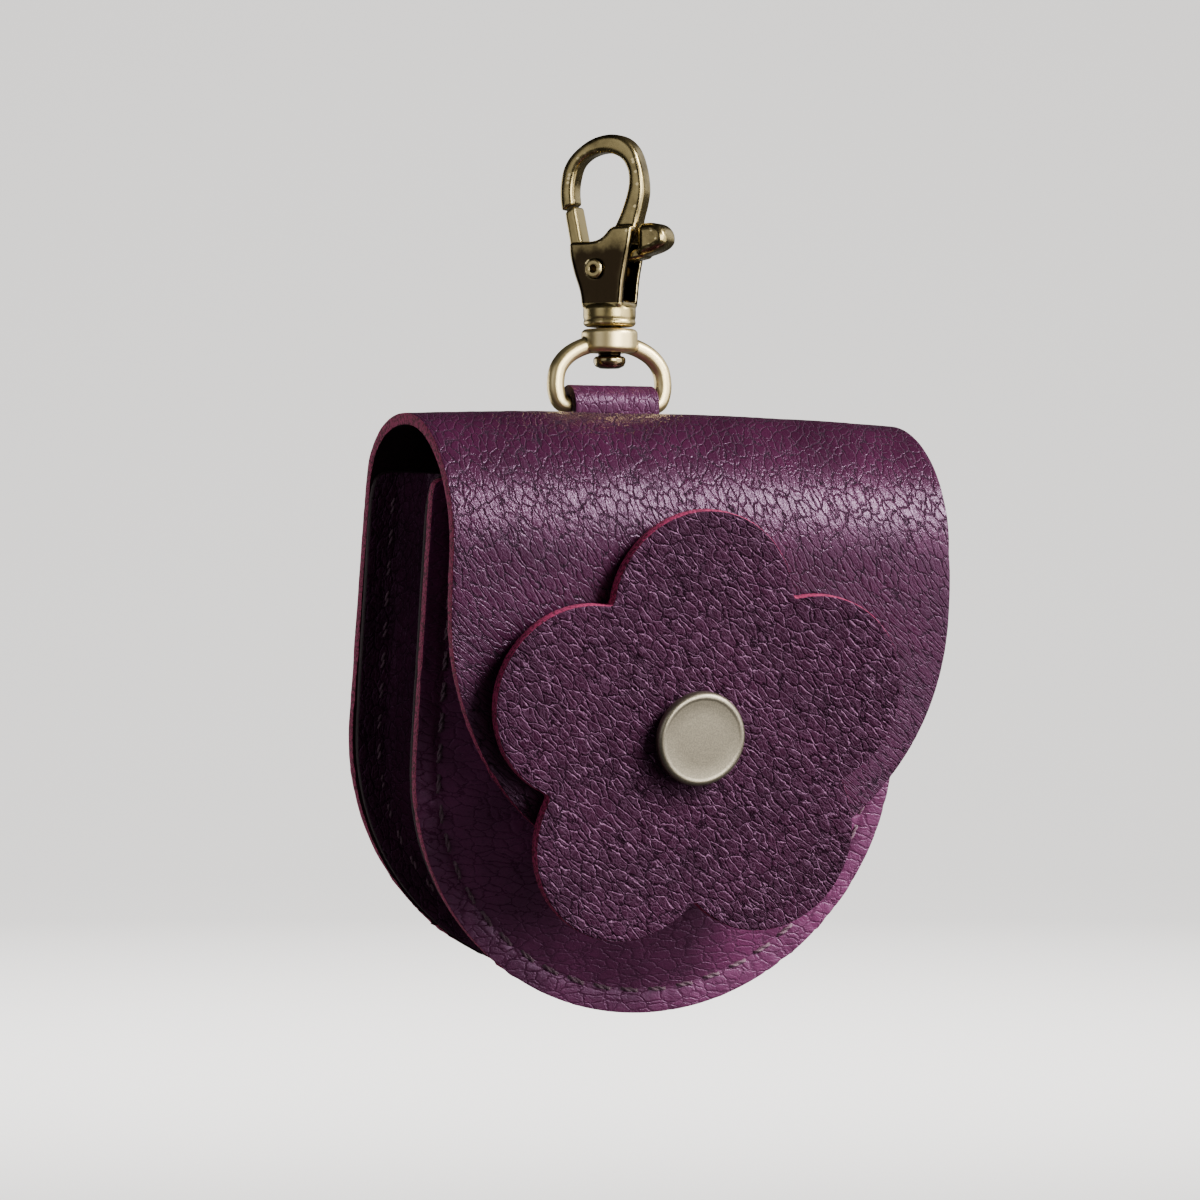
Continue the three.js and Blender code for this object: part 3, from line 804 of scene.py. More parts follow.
class Wiring:
    """Adds and joins the nodes of one material or group."""

    def __init__(self, tree):
        self.tree = tree

    def add(self, kind, **settings):
        node = self.tree.nodes.new(kind)
        for key, value in settings.items():
            setattr(node, key, value)
        return node

    def feed(self, socket, value):
        """Links a socket to another one, or sets it to a value."""
        if isinstance(value, bpy.types.NodeSocket):
            self.tree.links.new(value, socket)
        else:
            socket.default_value = value

    def put(self, node, **values):
        """Feeds inputs by name, with underscores for spaces."""
        for name, value in values.items():
            self.feed(node.inputs[name.replace("_", " ")], value)
        return node

    def math(self, operation, a, b=0.0, c=0.0):
        node = self.add("ShaderNodeMath", operation=operation)
        for socket, value in zip(node.inputs, (a, b, c)):
            self.feed(socket, value)
        return node.outputs[0]

    def vector(self, operation, a, b):
        node = self.add("ShaderNodeVectorMath", operation=operation)
        self.feed(node.inputs[0], a)
        self.feed(node.inputs["Scale" if operation == "SCALE" else 1], b)
        return node.outputs[0]

    def ramp(self, value, low, high, to_low=0.0, to_high=1.0):
        node = self.add("ShaderNodeMapRange", interpolation_type="SMOOTHSTEP")
        self.put(node, Value=value, From_Min=low, From_Max=high, To_Min=to_low, To_Max=to_high)
        return node.outputs[0]

    def colour(self, share, a, b):
        """A mix of two colours, each from a socket or of three numbers."""
        node = self.add("ShaderNodeMix", data_type="RGBA", clamp_factor=True)
        self.feed(node.inputs[0], share)
        for socket, value in ((node.inputs[6], a), (node.inputs[7], b)):
            self.feed(socket, value if isinstance(value, bpy.types.NodeSocket) else (*value, 1))
        return node.outputs[2]

    def noise(self, vector, scale, detail=3.0, roughness=0.5):
        node = self.add("ShaderNodeTexNoise")
        self.put(node, Vector=vector, Scale=scale, Detail=detail, Roughness=roughness)
        return node.outputs["Fac"]

    def cracks(self, vector, scale):
        node = self.add("ShaderNodeTexVoronoi", feature="DISTANCE_TO_EDGE")
        self.put(node, Vector=vector, Scale=scale)
        return node.outputs["Distance"]

    def shifted(self, vector, scale, detail, amount):
        """A vector moved about by noise, by up to half the amount each way."""
        drift = self.add("ShaderNodeTexNoise")
        self.put(drift, Vector=vector, Scale=scale, Detail=detail, Roughness=0.6)
        centred = self.vector("SUBTRACT", drift.outputs["Color"], (0.5, 0.5, 0.5))
        return self.vector("ADD", vector, self.vector("SCALE", centred, amount))

    def bump(self, height, distance):
        node = self.add("ShaderNodeBump")
        self.put(node, Height=height, Distance=distance)
        return node.outputs[0]


def new_group(name, inputs, outputs):
    """A shader node group with named sockets. Inputs are (name, kind, default)."""
    tree = bpy.data.node_groups.new(name, "ShaderNodeTree")
    for title, kind, default in inputs:
        socket = tree.interface.new_socket(name=title, in_out="INPUT", socket_type=kind)
        if default is not None:
            socket.default_value = default
    for title, kind in outputs:
        tree.interface.new_socket(name=title, in_out="OUTPUT", socket_type=kind)
    wiring = Wiring(tree)
    return wiring, wiring.add("NodeGroupInput"), wiring.add("NodeGroupOutput")


def pebble_grain_group():
    """Tumbled leather: plateaus between creases, finer chips on them, and pores.

    The highlights are painted highlights on the walls of the creases on one side, the side towards the key
    light, and on the lines of the finer chips."""
    wiring, given, out = new_group(
        "Pebble grain",
        [("Vector", "NodeSocketVector", None), ("Scale", "NodeSocketFloat", 0.7),
         ("Warp", "NodeSocketFloat", 1.0), ("Crease width", "NodeSocketFloat", 0.058),
         ("Chips", "NodeSocketFloat", 0.3), ("Pores", "NodeSocketFloat", 0.2)],
        [("Height", "NodeSocketFloat"), ("Creases", "NodeSocketFloat"), ("Rims", "NodeSocketFloat"),
         ("Pores", "NodeSocketFloat")])
    vector, scale, width = given.outputs["Vector"], given.outputs["Scale"], given.outputs["Crease width"]
    place = wiring.shifted(vector, 0.5, 4.0, given.outputs["Warp"])
    place = wiring.shifted(place, 2.6, 2.0, 0.3)
    # The creases once more, a little towards the key light: their walls on that side get a painted highlight
    beside = wiring.vector("ADD", place, (0.1, 0.02, 0))
    large = wiring.cracks(place, scale)
    lit = wiring.cracks(beside, scale)
    small = wiring.cracks(place, wiring.math("MULTIPLY", scale, 2.3))
    uneven = wiring.ramp(wiring.noise(vector, 0.9, 2.0), 0.3, 0.7, 0.5, 1.4)
    crease = wiring.ramp(large, 0.0, wiring.math("MULTIPLY", width, uneven), 1.0, 0.0)
    painted_highlight = wiring.ramp(lit, 0.0, wiring.math("MULTIPLY", width, 0.8), 1.0, 0.0)
    painted_highlight = wiring.math("MULTIPLY", painted_highlight, wiring.math("SUBTRACT", 1.0, crease))
    chip_lines = wiring.ramp(small, 0.0, 0.1, 1.0, 0.0)
    pores = wiring.noise(place, 6.5, 3.0, 0.65)
    height = wiring.math("MULTIPLY", wiring.ramp(large, 0.0, 0.13), 0.5)
    height = wiring.math("MULTIPLY_ADD", wiring.ramp(small, 0.0, 0.18), given.outputs["Chips"], height)
    height = wiring.math("MULTIPLY_ADD", pores, given.outputs["Pores"], height)
    # The lines of the finer chips get a painted highlight too
    painted_highlight = wiring.math("MULTIPLY_ADD", wiring.math("MULTIPLY", chip_lines, given.outputs["Chips"]), 0.9, painted_highlight)
    wiring.put(out, Height=height, Creases=crease, Rims=wiring.math("MINIMUM", painted_highlight, 1.0), Pores=pores)
    return wiring.tree


def new_material(name):
    material = bpy.data.materials.new(name)
    material.use_nodes = True
    material.node_tree.nodes.clear()
    wiring = Wiring(material.node_tree)
    shader = wiring.add("ShaderNodeBsdfPrincipled")
    output = wiring.add("ShaderNodeOutputMaterial")
    wiring.put(output, Surface=shader.outputs[0])
    return material, wiring, shader


# How each piece's grain side differs. Its pebbles lie at an angle on the flat leather and are
# longer than wide. Dark says how much painted shade darkens the creases and pale how much a
# painted highlight lightens their walls on one side, depth is that of the relief in millimetres,
# gloss the lowest roughness, lit a factor of painted light and shade for the leather's colour
# and shine the specular level.
GRAIN = {
    "plum_flap": {"scale": 0.86, "turn": 0.0, "stretch": 1.9, "warp": 1.4, "chips": 0.13, "pores": 0.13,
                  "dark": 1.0, "pale": 0.12, "depth": 0.13, "gloss": 0.25, "lit": 0.68, "shine": 0.52},
    "plum_front": {"scale": 0.8, "turn": 1.45, "stretch": 1.9, "warp": 1.0, "chips": 0.15, "pores": 0.08,
                   "dark": 0.45, "pale": 0.1, "depth": 0.1, "gloss": 0.36, "lit": 2.0, "shine": 1.0},
    "plum_gusset": {"scale": 0.75, "turn": 0.2, "stretch": 1.6, "warp": 1.0, "chips": 0.3, "pores": 0.1,
                    "dark": 0.6, "pale": 0.2, "depth": 0.25, "gloss": 0.42, "lit": 0.8, "shine": 0.5},
    "plum_tab": {"scale": 1.1, "turn": 0.1, "stretch": 1.3, "warp": 0.9, "chips": 0.12, "pores": 0.1,
                 "dark": 0.5, "pale": 0.3, "depth": 0.08, "gloss": 0.3, "lit": 1.0, "shine": 0.5},
    "plum_flower": {"scale": 0.9, "turn": 0.85, "stretch": 2.2, "warp": 1.3, "chips": 0.24, "pores": 0.22,
                    "dark": 0.85, "pale": 0.95, "depth": 0.24, "gloss": 0.44, "lit": 0.5, "shine": 0.2},
}


def shade(colour, level):
    return [channel * level for channel in colour]


def plum_leather(name, colours):
    """The grain side of one piece."""
    made = GRAIN[name]
    material, wiring, shader = new_material(name)
    flat = wiring.add("ShaderNodeAttribute", attribute_name="flat").outputs["Vector"]
    mapping = wiring.add("ShaderNodeMapping", vector_type="TEXTURE")
    wiring.put(mapping, Vector=flat, Rotation=(0, 0, made["turn"]), Scale=(1, made["stretch"], 1))
    pebbles = wiring.add("ShaderNodeGroup", node_tree=shared(pebble_grain_group))
    wiring.put(pebbles, Vector=mapping.outputs[0], Scale=made["scale"], Warp=made["warp"],
               Chips=made["chips"], Pores=made["pores"])
    height, creases, painted_highlights, pores = pebbles.outputs
    # Painted light and shade: each piece's copy of the leather colour is scaled by its lit factor, twice as
    # light on the front panel and half as light on the flower
    colour = shade(colours.grain, made["lit"])
    patches = wiring.noise(flat, 0.13, 3.0)
    # Noise that varies the painted highlight on the crease walls from place to place, not wear
    wear = wiring.noise(flat, 0.6, 4.0, 0.6)
    base = wiring.colour(wiring.ramp(patches, 0.3, 0.7), shade(colour, 0.8), shade(colour, 1.25))
    base = wiring.colour(wiring.ramp(pores, 0.5, 0.72, 0.0, 0.6), base, shade(colour, 0.3))
    # Painted highlight: the crease walls towards the key light are lightened towards the crease colour
    pale = wiring.math("MULTIPLY", painted_highlights, wiring.ramp(wear, 0.38, 0.6, 0.2 * made["pale"], made["pale"]))
    base = wiring.colour(pale, base, colours.crease)
    # Painted shade: the creases are darkened towards a tenth of the leather's colour
    dark = wiring.math("MULTIPLY", creases, made["dark"])
    base = wiring.colour(dark, base, shade(colour, 0.1))
    rough = wiring.math(
        "MULTIPLY_ADD", creases, 0.75, wiring.ramp(pores, 0.4, 0.7, made["gloss"], made["gloss"] + 0.16))
    normal = wiring.bump(height, made["depth"] * MM)
    wiring.put(shader, Base_Color=base, Roughness=rough, Normal=normal, Specular_IOR_Level=made["shine"],
               Specular_Tint=(1.0, 0.64, 1.0, 1))
    return material


def speckled(name, colour, dark, size, limits, roughness, depth, metallic=0.0):
    """A finish whose colour falls to a dark level of itself in fine spots, which are also low.

    Size is the noise's scale, detail and roughness, and limits are where it is dark and light."""
    material, wiring, shader = new_material(name)
    place = wiring.add("ShaderNodeTexCoord").outputs["Object"]
    spots = wiring.noise(place, *size)
    base = wiring.colour(wiring.ramp(spots, *limits), shade(colour, dark), colour)
    wiring.put(shader, Base_Color=base, Metallic=metallic, Roughness=roughness,
               Normal=wiring.bump(spots, depth * MM))
    return material


def raw_edge(colours):
    """Cut fibres: bright magenta where they stand up, darker between them."""
    return speckled("raw_edge", colours.edge, 0.25, (2600.0, 4.0, 0.65), (0.4, 0.56), 0.85, 0.15)


def flesh_side(colours):
    """The dark nap of the leather's inner side."""
    return speckled("flesh_side", colours.flesh, 0.4, (1800.0, 4.0, 0.7), (0.3, 0.7), 0.9, 0.1)


def thread_finish(colours):
    return speckled("sewing_thread", colours.thread, 0.4, (6000.0, 3.0, 0.6), (0.3, 0.7), 0.6, 0.03)


def edge_wear_group():
    """Where handling has rubbed the patina off: raised edges, unevenly, and where it has pooled."""
    wiring, given, out = new_group(
        "Edge wear",
        [("Vector", "NodeSocketVector", None), ("Amount", "NodeSocketFloat", 1.0)],
        [("Worn", "NodeSocketFloat"), ("Recess", "NodeSocketFloat"), ("Grime", "NodeSocketFloat")])
    raised = wiring.add("ShaderNodeNewGeometry").outputs["Pointiness"]
    patches = wiring.noise(given.outputs["Vector"], 260.0, 4.0, 0.6)
    level = wiring.math("MULTIPLY_ADD", wiring.math("SUBTRACT", patches, 0.5), 0.03, raised)
    worn = wiring.math("MULTIPLY", wiring.ramp(level, 0.5, 0.57), given.outputs["Amount"])
    wiring.put(out, Worn=worn, Recess=wiring.ramp(level, 0.5, 0.47), Grime=patches)
    return wiring.tree


def antique_brass(colours):
    """Olive brass under a dark patina that is rubbed off by hand and bright along its edges."""
    material, wiring, shader = new_material("antique_brass")
    place = wiring.add("ShaderNodeTexCoord").outputs["Object"]
    handled = wiring.add("ShaderNodeAttribute", attribute_name="rubbed").outputs["Fac"]
    wear = wiring.add("ShaderNodeGroup", node_tree=shared(edge_wear_group))
    wiring.put(wear, Vector=place, Amount=0.9)
    worn, recess, grime = wear.outputs
    scratches = wiring.noise(place, 3800.0, 2.0, 0.6)
    level = wiring.math("MULTIPLY_ADD", wiring.math("SUBTRACT", grime, 0.5), 0.9, handled)
    bright = [min(1, c * 1.75 + 0.08) for c in colours.brass]
    base = wiring.colour(wiring.ramp(level, 0.0, 0.5), colours.patina, colours.brass)
    base = wiring.colour(wiring.ramp(level, 0.6, 1.0), base, bright)
    base = wiring.colour(recess, base, colours.patina)
    base = wiring.colour(worn, base, bright)
    rough = wiring.math("MULTIPLY_ADD", scratches, 0.12, wiring.ramp(level, 0.0, 0.9, 0.14, 0.32))
    wiring.put(shader, Base_Color=base, Metallic=1.0, Roughness=rough, Normal=wiring.bump(grime, 0.02 * MM))
    return material


def cap_finish(colours):
    return speckled("satin_cap", colours.cap, 0.72, (5200.0, 2.0, 0.6), (0.35, 0.7), 0.42, 0.01, 1.0)


def stage_paper():
    """Pale to the camera, and dark to the object, so that it throws no light back at it."""
    material, wiring, shader = new_material("stage_paper")
    seen = wiring.add("ShaderNodeLightPath").outputs["Is Camera Ray"]
    base = wiring.colour(seen, (0.07, 0.07, 0.07), (0.78, 0.765, 0.75))
    wiring.put(shader, Base_Color=base, Roughness=0.9, Specular_IOR_Level=0.0)
    return material


def shared(make, *given):
    """A material or group that several operators use, made the first time it is asked for."""
    key = make.__name__
    if key not in shared.made:
        shared.made[key] = make(*given)
    return shared.made[key]


shared.made = {}


def leather_slots(name, colours, edge=raw_edge):
    """Materials of a piece: its grain side, its flesh side and the finish of its cut edge."""
    return plum_leather(name, colours), shared(flesh_side, colours), shared(edge, colours)


# Stitches

def stitch_shape(length, radius):
    """One stitch: two plies twisted round each other, its ends sinking into the leather."""
    sides, steps = 6, 12
    turning, taper, flatness, sink = 2.2 * math.pi, 0.25, 0.85, 2.6
    obj = fresh("stitch", bpy.ops.mesh.primitive_circle_add, vertices=sides, radius=radius,
                fill_type="NGON", location=(radius * 0.8, 0, -length / 2))
    edit(obj)
    for step in range(steps):
        bpy.ops.mesh.extrude_region_move(TRANSFORM_OT_translate={"value": (0, 0, length / steps)})
    face_outward()
    bpy.ops.mesh.duplicate()
    bpy.ops.transform.rotate(value=math.pi, orient_axis="Z", center_override=(0, 0, 0))
    done()
    obj.data.transform(Matrix.Translation(obj.location))
    obj.location = (0, 0, 0)

    def twist(index, co):
        share = 2 * co.z / length
        turned = Matrix.Rotation(turning * share / 2, 3, "Z") @ Vector((co.x, co.y, 0))
        narrow = 1 - taper * share ** 4
        dip = sink * radius * share ** 4
        return Vector((turned.x * narrow, turned.y * narrow * flatness + dip, co.z))

    reshape(obj, twist)
    return obj


def sewn(name, shape, places):
    """Copies of one stitch at (place, direction, outward), each with its own mesh, joined."""
    copies = []
    for place, along, outward in places:
        copy = shape.copy()
        copy.data = shape.data.copy()
        bpy.context.scene.collection.objects.link(copy)
        side = along.cross(outward).normalized()
        turn = Matrix((side, -outward, along)).transposed().to_4x4()
        copy.data.transform(Matrix.Translation(place) @ turn)
        copies.append(copy)
    only(copies[0])
    for copy in copies:
        copy.select_set(True)
    bpy.ops.object.join()
    copies[0].name = copies[0].data.name = name
    return copies[0]


def hem_stitches(panel, top, sizes, surface, outward):
    """Where the stitches of one hem lie: on surface(x, z), seen from outward."""
    line = sizes.stitch_inset / MM
    for x, z, turn in hem_places(panel, top, line, sizes.stitch_pitch / MM):
        along = Vector((math.sin(turn), 0, -math.cos(turn)))
        slant = Matrix.Rotation(STITCH["slant"], 3, "Y")
        yield Vector((x, surface(x, z), z)), slant @ along, Vector((0, outward, 0))


# Operators

class POUCH_OT_stage(bpy.types.Operator):
    """Add the floor, the lights and the camera"""

    bl_idname = "pouch.stage"
    bl_label = "Floor, light and camera"

    def execute(self, context):
        floor_height = CAD_BOX[0].z - context.scene.pouch_sizes.floor_drop
        radius, rise, steps = 1.9, 1.1, 10
        cove = fresh("floor", bpy.ops.mesh.primitive_circle_add, vertices=96, radius=radius,
                     fill_type="NOTHING", location=(0, 0, floor_height))
        edit(cove)
        width, height = radius, 0
        for step in range(1, steps + 1):
            angle = math.pi / 2 * step / steps
            grown, raised = radius + rise * math.sin(angle), rise * (1 - math.cos(angle))
            bpy.ops.mesh.extrude_region_move(TRANSFORM_OT_translate={"value": (0, 0, raised - height)})
            bpy.ops.transform.resize(value=(grown / width, grown / width, 1), center_override=(0, 0, 0))
            width, height = grown, raised
        choose(cove, lambda co: co.z < 1e-6)
        bpy.ops.mesh.edge_face_add()
        bpy.ops.mesh.select_all(action="SELECT")
        bpy.ops.mesh.normals_make_consistent(inside=True)
        done()
        bpy.ops.object.transform_apply()
        painted(cove, stage_paper())
        only(cove)
        bpy.ops.object.shade_smooth()
        for lamp in LAMPS:
            self.add_light(*lamp)
        # Light from the lamp for the metal isn't thrown on from it to the leather
        bright = bpy.data.collections.new("bright_metal")
        for obj in bpy.data.objects:
            if obj.name.endswith("_metal"):
                bright.objects.link(obj)
        metal = bpy.data.objects["metal"]
        metal.light_linking.receiver_collection = bright
        metal.data.cycles.max_bounces = 0
        world = context.scene.world or bpy.data.worlds.new("World")
        context.scene.world = world
        world.use_nodes = True
        backdrop = world.node_tree.nodes["Background"]
        backdrop.inputs["Color"].default_value = (0.8, 0.79, 0.78, 1)
        backdrop.inputs["Strength"].default_value = 0.02
        self.add_camera(context)
        return {"FINISHED"}

    def add_light(self, name, place, target, size, power, colour):
        bpy.ops.object.light_add(type="AREA", location=place)
        lamp = bpy.context.active_object
        lamp.name = lamp.data.name = name
        lamp.data.size = size
        lamp.data.energy = power
        lamp.data.color = colour
        aim = Vector(target) - Vector(place)
        lamp.rotation_euler = aim.to_track_quat("-Z", "Y").to_euler()

    def add_camera(self, context):
        """The camera looks level from 24 degrees left of the front."""
        side = math.radians(24)
        distance, shift, height = 0.623, -0.0013, -0.0609
        away = Vector((-math.sin(side), -math.cos(side), 0))
        right = Vector((math.cos(side), -math.sin(side), 0))
        bpy.ops.object.camera_add(
            location=away * distance + right * shift + Vector((0, 0, height)),
            rotation=(math.pi / 2, 0, -side))
        camera = context.active_object
        camera.name = camera.data.name = "camera"
        camera.data.sensor_width = 36
        camera.data.lens = 137.1
        context.scene.camera = camera


class POUCH_OT_back_and_flap(bpy.types.Operator):
    """Model the back, the fold and the flap from one piece of leather"""

    bl_idname = "pouch.back_and_flap"
    bl_label = "Back and flap"

    def execute(self, context):
        sizes, colours = context.scene.pouch_sizes, context.scene.pouch_colours
        obj = back_flap_sheet()
        pitch, line = sizes.stitch_pitch / MM, sizes.stitch_inset / MM

        def relief(flat, co):
            u, v = flat.x, flat.y
            waves = sway(u, v, size=17, seed=3.1)
            height = 0.16 * waves - 0.07 * wrinkles(u, v, long_way=0.11, across=0.42, seed=5.5)
            if co.y > FOLD["ridge"] and co.z < FOLD["back"]:
                radial = co.z < BACK["bend"]
                inset = BACK["half"] - (math.hypot(co.x, co.z - BACK["bend"]) if radial else abs(co.x))
                turn = math.atan2(BACK["bend"] - co.z, -co.x) * BACK["half"] if radial else -co.z
                height += hem_relief(inset, turn, pitch, line)
            return height

        emboss(obj, relief)
        thickened(obj, LEATHER, sizes.raw_edge / MM, leather_slots("plum_flap", colours))
        placed(obj, POUCH_PLACE)
        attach(obj, "pouch")
        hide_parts("back_flap_panel")
        return {"FINISHED"}


class POUCH_OT_front(bpy.types.Operator):
    """Model the domed front panel with its puckered hem"""

    bl_idname = "pouch.front"
    bl_label = "Front panel"

    def execute(self, context):
        sizes, colours = context.scene.pouch_sizes, context.scene.pouch_colours
        obj = front_sheet()
        pitch, line = sizes.stitch_pitch / MM, sizes.stitch_inset / MM

        def relief(flat, co):
            inset = front_inset(co.x, co.z)
            low = co.z < FRONT["bend"]
            turn = math.atan2(FRONT["bend"] - co.z, -co.x) * FRONT["half"] if low else -co.z
            folds = wrinkles(co.x, co.z, long_way=0.7, across=0.12, seed=2.2) * smooth(4, 8, inset)
            folds *= smooth(-0.3, -0.9, co.x / FRONT["half"])
            waves = sway(co.x, co.z, size=14, seed=8.0)
            return hem_relief(inset, turn, pitch, line) - 0.06 * folds + 0.1 * waves

        emboss(obj, relief)
        thickened(obj, LEATHER, sizes.raw_edge / MM, leather_slots("plum_front", colours))
        placed(obj, POUCH_PLACE)
        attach(obj, "pouch")
        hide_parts("front_panel")
        return {"FINISHED"}


class POUCH_OT_gusset(bpy.types.Operator):
    """Model the gusset that joins the back and the front"""

    bl_idname = "pouch.gusset"
    bl_label = "Gusset"

    def execute(self, context):
        sizes, colours = context.scene.pouch_sizes, context.scene.pouch_colours
        obj = gusset_sheet()

        def relief(flat, co):
            creases = wrinkles(flat.y, flat.x, long_way=0.1, across=0.5, seed=4.4)
            return -0.12 * creases + 0.1 * sway(flat.y, flat.x, size=9, seed=1.0)

        emboss(obj, relief)
        # Painted shade: the gusset's cut edge gets the dark flesh-side finish in place of the raw magenta
        # edge
        thickened(obj, GUSSET_LEATHER, sizes.raw_edge / MM, leather_slots("plum_gusset", colours, flesh_side))
        placed(obj, POUCH_PLACE)
        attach(obj, "pouch")
        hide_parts("gusset")
        return {"FINISHED"}


class POUCH_OT_tab(bpy.types.Operator):
    """Model the strap that holds the ring"""

    bl_idname = "pouch.tab"
    bl_label = "Tab"

    def execute(self, context):
        sizes, colours = context.scene.pouch_sizes, context.scene.pouch_colours
        obj = tab_sheet()
        emboss(obj, lambda flat, co: -0.05 * wrinkles(flat.x, flat.y, long_way=0.3, across=0.7, seed=3.3))
        thickened(obj, TAB_LEATHER, sizes.raw_edge / MM, leather_slots("plum_tab", colours, flesh_side))
        placed(obj, POUCH_PLACE)
        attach(obj, "pouch")
        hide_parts("tab_loop")
        return {"FINISHED"}


class POUCH_OT_flower(bpy.types.Operator):
    """Model the five-petalled flower"""

    bl_idname = "pouch.flower"
    bl_label = "Flower"

    def execute(self, context):
        sizes, colours = context.scene.pouch_sizes, context.scene.pouch_colours
        obj = flower_sheet(sizes.petal_lift / MM)
        emboss(obj, lambda flat, co: 0.05 * sway(flat.x, flat.y, size=6, seed=6.6))
        rounding = sizes.raw_edge / MM * FLOWER_ROUNDING
        thickened(obj, PETAL_LEATHER, rounding, leather_slots("plum_flower", colours))
        placed(obj, POUCH_PLACE)
        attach(obj, "pouch")
        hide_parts("flower")
        return {"FINISHED"}


class POUCH_OT_stitches(bpy.types.Operator):
    """Sew both hems with twisted thread"""

    bl_idname = "pouch.stitches"
    bl_label = "Stitches"

    def execute(self, context):
        sizes, colours = context.scene.pouch_sizes, context.scene.pouch_colours
        shape = stitch_shape(STITCH["length"], sizes.thread_radius / MM)
        inside = LEATHER + GAP + GUSSET_LEATHER - STITCH["sunk_inside"]
        back_top, front_top = GUSSET_TOPS[0] - STITCH["below_gusset"], FRONT["top"] - STITCH["below_front"]
        lines = {
            "front_stitches": (FRONT, front_top, lambda x, z: front_face(x, z) + STITCH["sunk"], -1),
            "front_inner_stitches": (FRONT, front_top, lambda x, z: FRONT["y"] + inside, 1),
            "back_stitches": (BACK, back_top, lambda x, z: -STITCH["sunk"], 1),
            "back_inner_stitches": (BACK, back_top, lambda x, z: -inside, -1),
        }
        for name, (panel, top, surface, outward) in lines.items():
            obj = sewn(name, shape, hem_stitches(panel, top, sizes, surface, outward))
            painted(obj, shared(thread_finish, colours))
            placed(obj, POUCH_PLACE)
            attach(obj, "pouch")
        bpy.data.objects.remove(shape)
        return {"FINISHED"}


